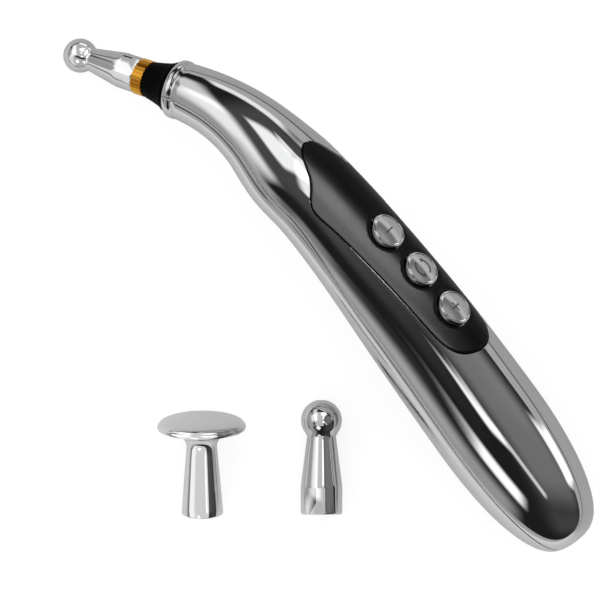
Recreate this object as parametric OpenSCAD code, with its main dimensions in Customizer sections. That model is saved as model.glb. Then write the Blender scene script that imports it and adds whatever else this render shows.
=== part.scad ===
// Electronic acupuncture pen with a chromed arched body, a gloss black key panel and screw-on tips.
// The pen's own axes: x runs from the butt to the nose, z points out of the key panel, and zero
// height is the centre of the butt. The whole set then lies on a table, panel turned to one side.

/* [Body] */
// Length of the body from its butt to the rim of its nose
body_l = 174; // [168:1:182]
// Width of the grip where it is fattest
grip_w = 34.4; // [32.4:0.2:37.4]
// Depth of the grip where it is fattest
grip_d = 32.8; // [31.4:0.2:35.8]
// Width of the body at the narrow end of the panel
waist_w = 30; // [28.6:0.2:32]
// Depth of the body at the narrow end of the panel
waist_d = 23.8; // [23:0.2:25.6]
// Outside diameter of the nose behind its bead
nose_d = 16.4; // [16.2:0.1:17.4]
// Height of the arch's crest over the butt
arch_h = 15.1; // [13.6:0.1:16.6]
// Height of the nose's centre over the butt
nose_z = 2.7; // [1.5:0.1:4]
// Angle by which the nose points down from the handle
nose_tilt = 37; // [33:1:41]
// Length over which the butt rounds off
butt_round = 45; // [38:1:50]
// Thickness of the shells
wall = 1.8; // [1.5:0.1:2]
// Gap between the two shells along their seam
seam_gap = 0.15; // [0.1:0.05:0.3]
// Height of the lip that lines the shells up
lip_h = 1.2; // [0.8:0.1:2]

/* [Nose] */
// Diameter of the bead round the nose
bead_d = 17.2; // [17:0.1:18.2]
// Length of the bead
bead_l = 2.4; // [1.8:0.1:3]
// Diameter of the black cone where it leaves the nose
cone_d = 15; // [14.4:0.1:15.2]
// Length of the black cone in front of the nose
cone_l = 9.3; // [8:0.1:11]
// Length of the cone's full width in front of the nose
cone_shoulder = 2.2; // [1.4:0.1:3]
// Depth to which the cone's full width sits in the nose
cone_seat = 1.2; // [0.8:0.1:1.6]
// Length of the cone's root inside the shells
root_l = 10; // [9.6:0.1:11]
// Diameter of the cone's root
root_d = 12; // [11.6:0.1:12.2]
// Width of the groove that the shells clamp
groove_w = 2.4; // [2:0.1:2.8]
// Depth of the groove that the shells clamp
groove_deep = 1; // [0.7:0.1:1.3]
// Diameter of the brass ring over its ribs
ring_d = 10.7; // [10.4:0.1:11.4]
// Length of the brass ring
ring_l = 3.4; // [2.6:0.1:4]
// Number of ribs on the brass ring
ring_ribs = 30; // [20:1:36]
// Depth of the grooves between the ribs
rib_deep = 0.35; // [0.2:0.05:0.5]
// Diameter of the threaded stud that the tips screw on
stud_d = 5; // [4.6:0.1:5.4]
// Length of the stud in front of the brass ring
stud_reach = 7; // [6:0.1:8]
// Diameter of the light channel through the stud and the ball tips
channel_d = 2; // [1.6:0.1:2.4]
// Width of the nut across its flats
nut_w = 8; // [7.4:0.1:8.6]
// Thickness of the nut
nut_t = 2.4; // [2:0.1:3]
// Diameter of the red lamp in the back of the stud
lamp_d = 3; // [2.6:0.1:3.2]
// Length of the lamp's glass
lamp_l = 3.4; // [3:0.1:4]

/* [Tips] */
// Diameter of the fitted tip's ball
ball_d = 10; // [9:0.1:11.4]
// Distance from the fitted tip's base to the centre of its ball
ball_at = 20.9; // [19:0.1:23]
// Diameter of the fitted tip under its ball
tip_neck_d = 6.8; // [6:0.1:7.8]
// Diameter of the fitted tip's base
tip_base_d = 10.4; // [9.8:0.1:11.2]
// Length of the fitted tip's cylindrical base
tip_base_l = 6.2; // [5:0.1:7.4]
// Diameter of the spare tip's ball
spare_ball_d = 11.9; // [10.6:0.1:13]
// Distance from the spare ball tip's base to the centre of its ball
spare_ball_at = 27.4; // [25:0.1:30]
// Diameter of the spare ball tip under its ball
spare_neck_d = 8.4; // [7.4:0.1:9.4]
// Diameter of both spare tips' bases
spare_base_d = 12.1; // [11.4:0.1:13]
// Length of the spare ball tip's cylindrical base
spare_base_l = 8.1; // [7:0.1:9]
// Diameter of the disc tip's rim
disc_d = 25.8; // [23:0.1:28]
// Height of the disc tip's rim over its base
disc_rim_at = 26.3; // [24:0.1:28]
// Height of the disc's crown over its rim
disc_crown = 2.9; // [2:0.1:3.6]
// Thickness of the disc's rim
disc_rim_t = 1.4; // [1:0.1:1.8]
// Diameter of the disc tip's stem under the disc
stem_d = 8.8; // [8:0.1:9.8]
// Height at which the disc tip's stem begins to flare
stem_l = 20.2; // [18:0.1:21]
// Depth of the tips' threaded bores
tip_bore_l = 8.6; // [8.2:0.1:9.4]
// Depth of a wrench flat
flat_deep = 0.8; // [0.3:0.1:1.4]
// Clearance round the stud in a tip's bore
stud_gap = 0.05; // [0.03:0.01:0.09]

/* [Panel] */
// Distance from the back shell screw to the panel's broad end behind it
panel_back = 7.2; // [5.2:0.2:10.2]
// Distance from the panel's narrow end to the nose's rim
panel_nose = 37; // [34:1:40]
// Half width of the panel at its shoulder
panel_shoulder = 12.1; // [11.6:0.1:12.5]
// Half width of the panel next to its broad end
panel_heel = 9.6; // [9.2:0.1:10.4]
// Half width of the panel's narrow end
panel_nib = 3.6; // [3:0.1:4.4]
// Thickness of the panel
panel_t = 1.5; // [1.3:0.1:1.7]
// Gap round the panel in its recess
panel_gap = 0.15; // [0.1:0.05:0.3]
// Thickness of the shell's floor under the panel
floor_t = 1.4; // [1.2:0.1:1.6]
// Width of the ledge that carries the panel
ledge_w = 2; // [1.6:0.1:2.4]

/* [Keys] */
// Diameter of a key
key_d = 10.5; // [9.8:0.1:11]
// Distance from one key to the next
key_pitch = 14.4; // [13.8:0.1:14.8]
// Distance from the back shell screw to the middle key
key_ahead = 21; // [20.4:0.1:21.6]
// Height of a key over the panel
key_proud = 0.6; // [0.55:0.05:0.9]
// Rise of the dome on a key
key_dome = 0.35; // [0.2:0.05:0.5]
// Gap round a key
key_gap = 0.25; // [0.2:0.05:0.3]
// Travel of a key
key_travel = 0.5; // [0.3:0.05:0.5]
// Width of the flange that holds a key in
key_flange = 0.9; // [0.7:0.1:1]
// Depth of the sign on a key
sign_deep = 0.2; // [0.15:0.05:0.3]

/* [Board] */
// Distance from the middle key to the board's front edge
board_ahead = 39.8; // [38:0.2:40.8]
// Width of the board
board_w = 18; // [17:0.5:19]
// Thickness of the board
board_t = 1.6; // [1.2:0.1:1.8]
// Width of a key switch
switch_w = 6; // [5.4:0.1:6.2]
// Height of a key switch's case
switch_h = 3.5; // [3.2:0.1:3.8]
// Diameter of a key switch's plunger
plunger_d = 3.5; // [3:0.1:3.7]
// Height of the plunger over its case
plunger_out = 1.1; // [0.9:0.1:1.3]
// Length of the plunger inside its case
plunger_in = 0.8; // [0.6:0.1:1]

/* [Battery] */
// Diameter of the battery
cell_d = 14.5; // [13.5:0.1:14.5]
// Length of the battery's can
cell_l = 49.2; // [48.4:0.1:49.4]
// Length of the battery's positive nub
nub_l = 1.3; // [1:0.1:1.5]
// Distance from the butt to the battery's flat end
cell_x = 11.6; // [11.4:0.1:12]
// Gap between the battery and its tray
cell_gap = 0.3; // [0.2:0.05:0.4]
// Thickness of the tray
tray_t = 0.9; // [0.8:0.05:1]
// Thickness of the tray's end walls
tray_end = 1.2; // [1:0.1:1.3]
// Thickness of the positive contact
plate_t = 0.4; // [0.3:0.05:0.5]
// Length of the negative spring as the battery presses it
spring_l = 4.2; // [3.8:0.1:4.4]
// Diameter of the spring's wire
spring_wire = 0.5; // [0.4:0.05:0.6]
// Number of turns in the spring
spring_turns = 4; // [3:1:5]
// Half width of the battery cover
cover_half = 8.1; // [7.8:0.1:8.4]
// Depth of the cover's top edge under the seam at the butt
cover_drop = 3.8; // [3.4:0.1:4.4]
// Gap round the cover
cover_gap = 0.25; // [0.2:0.05:0.35]

/* [Screws] */
// Diameter of a shell screw
screw_d = 2.2; // [2:0.1:2.4]
// Diameter of a shell screw's head
screw_head_d = 3.8; // [3.4:0.1:4]
// Length of a shell screw under its head
screw_l = 9; // [8:0.5:10]
// Diameter of the upper shell's screw posts
post_d = 4.6; // [4.2:0.1:4.8]
// Diameter of a board screw
board_screw_d = 1.8; // [1.6:0.1:2]

/* [Wires] */
// Diameter of an insulated wire
wire_d = 1; // [0.8:0.1:1.2]
// Diameter of the lamp's bare leads
lead_d = 0.6; // [0.4:0.1:0.7]

/* [Rest] */
// Angle by which the pen lies rolled on to its side
roll = 45; // [40:1:50]

/* [Hidden] */
// Number of faces round a section of the body, outside and in its cavity
around = 40;
around_cavity = 28;
// Small overlap that makes joined shapes one solid
eps = 0.01;
// A length beyond everything
far = 60;

// The form of the body
// Each row holds the distance from the butt, the height as a share of the arch, and how far depth
// and width have gone from the grip's to the waist's.
rear_form = [
    [0, 0, 0.17, 0.27],
    [20, 0.19, 0.01, 0],
    [45, 0.437, 0, 0],
    [75, 0.715, 0.13, 0.36],
    [105, 0.947, 0.73, 0.55],
    [body_l - 52, 1, 0.92, 0.88],
    [body_l - 39, 0.954, 1, 1]
];
// Each row holds the distance back from the nose, the height from the nose's to the crest's, and
// how far depth and width have gone from the waist's to the nose's.
front_form = [
    [24, 0.9, 0.47, 0.46],
    [12, 0.605, 0.77, 0.78],
    [0, 0, 1, 1]
];

function blend(a, b, share) = a + (b - a) * share;
mid_line = concat(
    [for (f = rear_form) [f[0], arch_h * f[1]]],
    [for (f = front_form) [body_l - f[0], blend(nose_z, arch_h, f[1])]]
);
depth_line = concat(
    [for (f = rear_form) [f[0], blend(grip_d, waist_d, f[2]) / 2]],
    [for (f = front_form) [body_l - f[0], blend(waist_d, nose_d, f[2]) / 2]]
);
width_line = concat(
    [for (f = rear_form) [f[0], blend(grip_w, waist_w, f[3]) / 2]],
    [for (f = front_form) [body_l - f[0], blend(waist_w, nose_d, f[3]) / 2]]
);

// A smooth curve through a list of points, whose last slope may be given
function rise(a, b) = (b[1] - a[1]) / (b[0] - a[0]);
function span_of(k, x, i = 0) = i >= len(k) - 2 || x < k[i + 1][0] ? i : span_of(k, x, i + 1);
function slope_at(k, i, last) =
    i == 0 ? rise(k[0], k[1]) :
    i < len(k) - 1 ? rise(k[i - 1], k[i + 1]) :
    is_undef(last) ? rise(k[i - 1], k[i]) : last;
function curve(k, x, last) =
    let (i = span_of(k, x))
    let (h = k[i + 1][0] - k[i][0])
    let (t = (x - k[i][0]) / h)
    let (a = slope_at(k, i, last) * h)
    let (b = slope_at(k, i + 1, last) * h)
    let (d = k[i + 1][1] - k[i][1])
    k[i][1] + t * (a + t * (3 * d - 2 * a - b + t * (a + b - 2 * d)));

// Share of its full section that the body has as the butt rounds off
function butt_share(x) =
    x >= butt_round ? 1 : pow(1 - pow((butt_round - max(x, 0)) / butt_round, 2.2), 0.3);
function mid_z(x) = curve(mid_line, x, -tan(nose_tilt));
function mid_angle(x) = atan((mid_z(x + 0.1) - mid_z(x - 0.1)) / 0.2);
function half_depth(x, inset) = (curve(depth_line, x) - inset) * butt_share(x - inset);
function half_width(x, inset) = (curve(width_line, x) - inset) * butt_share(x - inset);
// Height of the body's surface at a place, or of one inset from it, on the panel side (1) or the back (-1)
function skin_z(x, y, inset = 0, side = 1) =
    mid_z(x) + side * half_depth(x, inset) * sqrt(1 - pow(y / half_width(x, inset), 2)) / cos(mid_angle(x));

// Sections of the body, closer together where the butt rounds off
butt_steps = 10;
body_steps = 23;
function stations(inset, past) = concat(
    [for (i = [1:butt_steps]) inset + (butt_round - inset) * pow(i / butt_steps, 2.4)],
    [for (i = [1:body_steps]) blend(butt_round, body_l, i / body_steps)],
    past > 0 ? [body_l + past] : []
);
function mid_point(x) =
    x <= body_l ? [x, 0, mid_z(x)] : [x, 0, nose_z - (x - body_l) * tan(nose_tilt)];
function section(x, inset, sides) =
    let (s = min(x, body_l))
    let (tilt = s < body_l ? mid_angle(s) : -nose_tilt)
    let (d = half_depth(s, inset))
    let (w = half_width(s, inset))
    [for (j = [0:sides - 1])
        let (q = 360 * j / sides)
        mid_point(x) + [-d * cos(q) * sin(tilt), w * sin(q), d * cos(q) * cos(tilt)]];
function flatten(l) = [for (a = l) for (b = a) b];

// A closed skin over rings of points that all have as many sides
module skin_over(rings, fold) {
    sides = len(rings[0]);
    last = (len(rings) - 1) * sides;
    walls = [for (i = [0:len(rings) - 2]) for (j = [0:sides - 1])
        let (k = (j + 1) % sides)
        let (a = i * sides + j)
        let (b = (i + 1) * sides + k)
        for (face = [[a, i * sides + k, b], [a, b, (i + 1) * sides + j]])
            face];
    back = [for (j = [sides - 1:-1:0]) j];
    front = [for (j = [0:sides - 1]) last + j];
    polyhedron(points = flatten(rings), faces = concat([back], walls, [front]), convexity = fold);
}

// A solid as thick as the body, inset from its surface, that may run past the nose
module body_form(inset = 0, past = 0, sides = around) {
    skin_over([for (x = stations(inset, past)) section(x, inset, sides)], 6);
}
module cavity() {
    body_form(wall, 1, around_cavity);
}
// The layer of the body between two depths under its surface
module body_layer(from, to) {
    difference() {
        body_form(from);
        body_form(to, 1);
    }
}
// A shell is carried as one mesh, as it stands
module as_mesh() {
    minkowski() {
        children();
    }
}

// The seam between the shells, lower than the middle line at the grip and higher at the nose
seam_low = -1.2;
seam_high = 1.7;
seam_rise_x = 85;
seam_rise_l = 40;
seam_step = 6;
function ease(s) = let (t = min(max(s, 0), 1)) t * t * (3 - 2 * t);
function seam_z(x) = mid_z(x) + blend(seam_low, seam_high, ease((x - seam_rise_x) / seam_rise_l));
// Everything above the seam, or below it, with the seam lifted
module side_of_seam(up, lift = 0) {
    outer = up ? far : -far;
    line = [for (x = [0:seam_step:body_l - seam_step / 2]) [x, seam_z(x) + lift]];
    nose_up = [sin(nose_tilt), cos(nose_tilt)];
    nose_out = [cos(nose_tilt), -sin(nose_tilt)];
    end = [body_l, nose_z] + nose_up * (seam_high + lift);
    rotate([90, 0, 0])
        linear_extrude(2 * far, center = true)
            polygon(concat(
                [[-far, outer], [-far, line[0][1]]],
                line,
                [end, end + nose_out * far, end + nose_out * far + nose_up * outer]
            ));
}

// Places in the nose are counted along its axis, from its rim forwards
module at_nose(n = 0) {
    translate([body_l, 0, nose_z])
        rotate([0, 90 + nose_tilt, 0])
            translate([0, 0, n])
                children();
}
nose_dir = [cos(nose_tilt), 0, -sin(nose_tilt)];
function nose_point(n, y) = [body_l, y, nose_z] + nose_dir * n;
tip_base_at = cone_l + ring_l;
ball_centre = nose_point(tip_base_at + ball_at, 0);

// The set at rest: the pen lies rolled to its side on its grip and on the ball of its tip
function rolled(p) = [p[0], p[1] * cos(roll) - p[2] * sin(roll), p[1] * sin(roll) + p[2] * cos(roll)];
skin_points = [for (x = stations(0, 0)) for (p = section(x, 0, around)) rolled(p)];
rolled_ball = rolled(ball_centre);
function low_skin(b) = min([for (p = skin_points) p[0] * sin(b) + p[2] * cos(b)]);
function low_ball(b) = rolled_ball[0] * sin(b) + rolled_ball[2] * cos(b) - ball_d / 2;
// Pitch at which the ball and the grip touch the table together
function level(b, n) = n == 0 ? b : level(b + atan((low_skin(b) - low_ball(b)) / body_l), n - 1);
pitch = level(0, 8);
floor_z = low_ball(pitch);
butt_end = min([for (p = skin_points) p[0] * cos(pitch) - p[2] * sin(pitch)]);
tip_end = rolled_ball[0] * cos(pitch) - rolled_ball[2] * sin(pitch) + ball_d / 2;
panel_side = min([for (p = skin_points) p[1]]);
// Place of each spare tip's base on the table, along the pen and to its side
spare_ball_place = [54.4, 49.6];
spare_disc_place = [77.8, 75.2];
// The spare tips point away from the pen's butt and back towards the pen
heading = -42;
spare_side = spare_disc_place[1] + spare_base_d / 2 * cos(heading);
centre = [(butt_end + tip_end) / 2, (panel_side + spare_side) / 2];
module lie() {
    translate([-centre[0], -centre[1], -floor_z])
        rotate([0, -pitch, 0])
            rotate([roll, 0, 0])
                children();
}
// A spare tip lies on the edge of its base and on its widest part
module lie_spare(place, lean) {
    translate([place[0] - centre[0], place[1] - centre[1], spare_base_d / 2 * cos(lean)])
        rotate([0, 0, heading])
            rotate([0, 90 - lean, 0])
                children();
}

// The battery lies over the cover, between its two contacts, and the back screw stands in front of it
plate_x = cell_x + cell_l + nub_l;
tray_front = plate_x + plate_t + tray_end;
tray_back = cell_x - spring_l - tray_end;
head_gap = 0.2;
head_t = 1.6;
lower_post_d = screw_head_d + 2 * head_gap + 1.6;
screw_back = tray_front + 0.6 + lower_post_d / 2;

// The outline of the panel, seen square to it
panel_x0 = screw_back - panel_back;
panel_x1 = body_l - panel_nose;
panel_half = [
    [panel_x0 + 0.7, panel_heel * 0.38],
    [panel_x0 + 3.1, panel_heel * 0.72],
    [panel_x0 + 8.5, panel_heel],
    [panel_x0 + 29, blend(panel_heel, panel_shoulder, 0.4)],
    [panel_x1 - 33, blend(panel_heel, panel_shoulder, 0.66)],
    [panel_x1 - 21, panel_shoulder - 0.1],
    [panel_x1 - 17.5, panel_shoulder],
    [panel_x1 - 15, panel_shoulder - 0.4],
    [panel_x1 - 12.6, panel_shoulder - 1.7],
    [panel_x1 - 10, blend(panel_shoulder, panel_nib, 0.45)],
    [panel_x1 - 6, blend(panel_shoulder, panel_nib, 0.74)],
    [panel_x1 - 2.4, panel_nib],
    [panel_x1 - 0.7, panel_nib * 0.7]
];
module panel_prism(grow = 0) {
    other_half = [for (i = [len(panel_half) - 1:-1:0]) [panel_half[i][0], -panel_half[i][1]]];
    translate([0, 0, board_z])
        linear_extrude(far)
            offset(delta = grow)
                polygon(concat([[panel_x0, 0]], panel_half, [[panel_x1, 0]], other_half));
}

// Keys, switches and the board under the panel
key_at = screw_back + key_ahead;
board_x1 = key_at + board_ahead;
key_x = [key_at + key_pitch, key_at, key_at - key_pitch];
key_clear = 0.2;
flange_d = key_d + 2 * key_flange;
flange_t = 0.9;
function key_top(i) = skin_z(key_x[i], 0) + key_proud;
// Underside of the panel where it comes lowest over a key's flange
function panel_under(x, r) = min([for (q = [0:30:90]) skin_z(x - r * cos(q), r * sin(q), panel_t)]);
function flange_z(i) = panel_under(key_x[i], flange_d / 2) - key_clear - flange_t;
stem_min = 0.5;
plunger_top = flange_z(2) - stem_min;
switch_top = plunger_top - plunger_out;
board_z = switch_top - switch_h;
under_board = board_z - board_t;

// The battery's height over the cover, and its tray
cell_lift = 1.2;
cell_z = skin_z(tray_front, 0, wall, -1) + cell_lift + cell_d / 2;
tray_r = cell_d / 2 + cell_gap;
tray_edge = cell_z - 1;
wing_w = 2;
wing_t = 1.2;
wing_x0 = tray_back + 16;
wing_x1 = tray_front - 8;
bracket_t = 1.6;
bracket_x = [wing_x0 + 2, wing_x1 - 2 - bracket_t];
bracket_h = 3;
cover_x = tray_front - 0.3;
cover_z = seam_z(0) - cover_drop;

// Screws and the posts that they hold together
board_x0 = screw_back + post_d / 2 + 0.4;
screw_front = board_x1 + post_d / 2 + 2.7;
screw_x = [screw_back, screw_front];
post_gap = 0.1;
pilot_gap = 0.05;
function post_meet(x) = seam_z(x) - 3;
function head_z(x) = post_meet(x) - 4;
module upper_post(x) {
    translate([x, 0, post_meet(x) + post_gap])
        cylinder(h = skin_z(x, 0, panel_t + floor_t / 2) - post_meet(x), d = post_d, $fn = 32);
}
module lower_post(x) {
    low = skin_z(x, 0, wall / 2, -1);
    translate([x, 0, low])
        cylinder(h = post_meet(x) - low, d = lower_post_d, $fn = 32);
}
module screw_bore(x) {
    translate([x, 0, head_z(x) - eps])
        cylinder(h = screw_l + 1, d = screw_d + 2 * pilot_gap, $fn = 32);
}
module head_bore(x) {
    translate([x, 0, head_z(x) - far])
        cylinder(h = far, d = screw_head_d + 2 * head_gap, $fn = 32);
}
board_screw_x = [key_at - key_pitch / 2, board_x1 - 10];
board_screw_y = board_w / 2 - 2.4;
board_post_d = board_screw_d + 2;
board_screw_l = 3;
module board_spots(d) {
    for (x = board_screw_x)
        for (y = [-board_screw_y, board_screw_y])
            translate([x, y, 0])
                circle(d = d, $fn = 32);
}

// What the shells have at the nose: the bead, the seat of the cone and the rib that clamps it
groove_at = 1.6 - root_l;
nose_gap = 0.1;
seat_l = 3;
rib_w = groove_w - 0.3;
module nose_bead() {
    round_r = 0.5;
    at_nose(-bead_l)
        rotate_extrude($fn = 60)
            offset(r = round_r, $fn = 16)
                offset(delta = -round_r)
                    translate([cone_d / 2 - 1, 0])
                        square([bead_d / 2 - cone_d / 2 + 1, bead_l]);
}
module nose_ribs() {
    intersection() {
        body_form(wall / 2);
        union() {
            at_nose(-cone_seat - seat_l)
                nose_rib(seat_l, root_d);
            at_nose(groove_at + (groove_w - rib_w) / 2)
                nose_rib(rib_w, root_d - 2 * groove_deep);
        }
    }
}
module nose_rib(l, bore) {
    difference() {
        cylinder(h = l, d = 2 * nose_d, $fn = 40);
        translate([0, 0, -1])
            cylinder(h = l + 2, d = bore + 2 * nose_gap, $fn = 40);
    }
}
module cone_room() {
    at_nose(-cone_seat - nose_gap)
        cylinder(h = far, d = cone_d + 2 * nose_gap, $fn = 60);
}
module shell_half(up) {
    intersection() {
        union() {
            difference() {
                body_form();
                cavity();
            }
            nose_bead();
            nose_ribs();
        }
        side_of_seam(up, up ? seam_gap / 2 : -seam_gap / 2);
    }
}
// The lip of the lower shell stands inside the upper one, as far as the nose's ribs
module lip(gap, depth) {
    difference() {
        intersection() {
            body_layer(wall / 2 - gap, depth);
            side_of_seam(false, lip_h + gap);
            side_of_seam(true, -1);
        }
        at_nose(groove_at - 4)
            cylinder(h = far, d = 2 * nose_d);
    }
}
lip_gap = 0.1;
lip_in = 0.2;

module upper_shell() {
    color("silver")
        lie()
            as_mesh()
                difference() {
                    union() {
                        shell_half(true);
                        panel_floor();
                        intersection() {
                            body_form(wall / 2);
                            upper_post(screw_front);
                        }
                        upper_post(screw_back);
                        board_posts();
                        tray_stops();
                    }
                    difference() {
                        panel_prism(panel_gap);
                        body_form(panel_t);
                    }
                    key_wells();
                    lip(lip_gap, wall + 1);
                    cone_room();
                    for (x = screw_x)
                        screw_bore(x);
                    translate([0, 0, board_z - 1])
                        linear_extrude(board_screw_l + 2)
                            board_spots(board_screw_d + 2 * pilot_gap);
                }
}
module panel_floor() {
    intersection() {
        body_layer(wall / 2, panel_t + floor_t);
        panel_prism(ledge_w);
    }
}
module key_wells() {
    for (i = [0:2])
        translate([key_x[i], 0, flange_z(i) - key_travel - key_clear])
            cylinder(h = far, d = flange_d + 2 * key_gap, $fn = 40);
}
module board_posts() {
    intersection() {
        body_form(panel_t + floor_t / 2);
        translate([0, 0, board_z])
            linear_extrude(far)
                board_spots(board_post_d);
    }
}
// Ribs that hold the tray down
module tray_stops() {
    stop_w = 6;
    for (x = bracket_x)
        intersection() {
            body_form(wall / 2);
            translate([x, -stop_w / 2, cell_z + tray_r + tray_t + post_gap])
                cube([bracket_t, stop_w, far]);
        }
}

module lower_shell() {
    color("silver")
        lie()
            as_mesh()
                difference() {
                    union() {
                        shell_half(false);
                        lip(0, wall + lip_in);
                        intersection() {
                            body_form(wall / 2);
                            union() {
                                for (x = screw_x)
                                    lower_post(x);
                                tray_brackets();
                            }
                        }
                    }
                    cover_block(cover_gap);
                    cone_room();
                    for (x = screw_x) {
                        screw_bore(x);
                        head_bore(x);
                    }
                }
}
module tray_brackets() {
    for (x = bracket_x)
        for (side = [0, 1])
            mirror([0, side, 0])
                translate([x, tray_r + tray_t + 0.1, tray_edge - bracket_h])
                    cube([bracket_t, far, bracket_h]);
}

// The cover runs in a dovetail, narrower outside than inside, and slides off over the butt
cover_slant = 0.25;
// Distance from the butt at which the cover's edges may begin to rise
cover_rise_x = 30;
module cover_block(gap) {
    low = skin_z(butt_round, 0, 0, -1) - 5;
    half_low = cover_half + gap - cover_slant * 5;
    module dovetail(from_x, to_x, top) {
        half_top = half_low + cover_slant * (top - low);
        translate([from_x, 0, 0])
            rotate([90, 0, 90])
                linear_extrude(to_x - from_x)
                    polygon([[-half_low, low], [half_low, low], [half_top, top], [-half_top, top]]);
    }
    dovetail(-far, cover_rise_x, cover_z + gap);
    dovetail(cover_rise_x - eps, cover_x + gap, cell_z - cell_d / 2 + 2);
}
// Grooves that the thumb pushes on
module thumb_grooves() {
    groove_r = 0.5;
    for (i = [0:3])
        let (x = cover_x - 6 - 2.4 * i)
        translate([x, 0, skin_z(x, 0, 0, -1)])
            rotate([90, 0, 0])
                cylinder(h = cover_half * 1.4, r = groove_r, center = true, $fn = 16);
}
module battery_cover() {
    color("silver")
        lie()
            as_mesh()
                difference() {
                    intersection() {
                        difference() {
                            body_form();
                            cavity();
                        }
                        cover_block(0);
                    }
                    thumb_grooves();
                }
}

module control_panel() {
    color([0.03, 0.03, 0.035])
        lie()
            as_mesh()
                difference() {
                    intersection() {
                        body_layer(0, panel_t);
                        panel_prism();
                    }
                    for (x = key_x)
                        translate([x, 0, board_z])
                            cylinder(h = far, d = key_d + 2 * key_gap, $fn = 60);
                }
}

// A key: a domed cap, a flange that keeps it under the panel and a stem on the switch
module key(i) {
    rim = 0.3;
    rim_z = key_top(i) - key_dome;
    dome_r = (pow(key_d / 2 - rim, 2) + pow(key_dome, 2)) / (2 * key_dome);
    color("gainsboro")
        lie()
            translate([key_x[i], 0, 0])
                difference() {
                    union() {
                        translate([0, 0, plunger_top])
                            cylinder(h = rim_z - plunger_top, d = plunger_d, $fn = 32);
                        translate([0, 0, flange_z(i)])
                            cylinder(h = rim_z - flange_z(i), d = key_d, $fn = 60);
                        translate([0, 0, flange_z(i)])
                            cylinder(h = flange_t, d = flange_d, $fn = 60);
                        intersection() {
                            translate([0, 0, key_top(i) - dome_r])
                                sphere(dome_r, $fn = 120);
                            translate([0, 0, rim_z - eps])
                                cylinder(h = key_dome + 1, d = key_d - 2 * rim, $fn = 60);
                        }
                    }
                    translate([0, 0, key_top(i) - sign_deep])
                        linear_extrude(1)
                            children();
                }
}
sign_l = 4.2;
sign_w = 0.7;
module bar_sign() {
    square([sign_w, sign_l], center = true);
}
module loop_sign() {
    difference() {
        circle(d = sign_l + sign_w, $fn = 48);
        circle(d = sign_l - sign_w, $fn = 48);
        for (turn = [20, 200])
            rotate(turn)
                translate([0, -sign_w / 2])
                    square([sign_l, sign_w]);
    }
}
module minus_key() {
    key(0)
        bar_sign();
}
module mode_key() {
    key(1)
        loop_sign();
}
module plus_key() {
    key(2)
        for (turn = [0, 90])
            rotate(turn)
                bar_sign();
}

module plunger(i) {
    color("black")
        lie()
            translate([key_x[i], 0, switch_top - plunger_in])
                cylinder(h = plunger_out + plunger_in, d = plunger_d, $fn = 32);
}
module minus_plunger() {
    plunger(0);
}
module mode_plunger() {
    plunger(1);
}
module plus_plunger() {
    plunger(2);
}
module key_switch(i) {
    plunger_gap = 0.06;
    well = plunger_in + key_travel + 0.3;
    color("dimgray")
        lie()
            translate([key_x[i], 0, board_z])
                difference() {
                    translate([-switch_w / 2, -switch_w / 2, 0])
                        cube([switch_w, switch_w, switch_h]);
                    translate([0, 0, switch_h - well])
                        cylinder(h = well + 1, d = plunger_d + 2 * plunger_gap, $fn = 32);
                }
}
module minus_switch() {
    key_switch(0);
}
module mode_switch() {
    key_switch(1);
}
module plus_switch() {
    key_switch(2);
}

module circuit_board() {
    color("seagreen")
        lie()
            translate([0, 0, under_board])
                linear_extrude(board_t)
                    difference() {
                        translate([board_x0, -board_w / 2])
                            square([board_x1 - board_x0, board_w]);
                        board_spots(board_screw_d + 0.3);
                    }
}
module control_chip() {
    chip = [9, 6, 1.6];
    color("black")
        lie()
            translate([key_x[1] - chip[0] / 2, -chip[1] / 2, under_board - chip[2]])
                cube(chip);
}
module boost_coil() {
    coil_h = 7;
    flange = 0.9;
    color("darkgoldenrod")
        lie()
            translate([key_x[0], 0, under_board - coil_h])
                difference() {
                    union() {
                        cylinder(h = coil_h, d = 6.4, $fn = 32);
                        for (z = [0, coil_h - flange])
                            translate([0, 0, z])
                                cylinder(h = flange, d = 8, $fn = 32);
                    }
                    translate([0, 0, -1])
                        cylinder(h = 5, d = 2, $fn = 32);
                }
}
module capacitor() {
    can_l = 9;
    can_d = 5;
    color("midnightblue")
        lie()
            translate([key_x[2] - can_l / 2 + 2.4, 0, under_board - can_d / 2])
                rotate([0, 90, 0])
                    cylinder(h = can_l, d = can_d, $fn = 32);
}
module buzzer() {
    can_h = 3.6;
    color("black")
        lie()
            translate([board_x1 - 10, 0, under_board - can_h])
                difference() {
                    cylinder(h = can_h, d = 9, $fn = 48);
                    translate([0, 0, -1])
                        cylinder(h = 2, d = 1.6, $fn = 32);
                }
}
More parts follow.
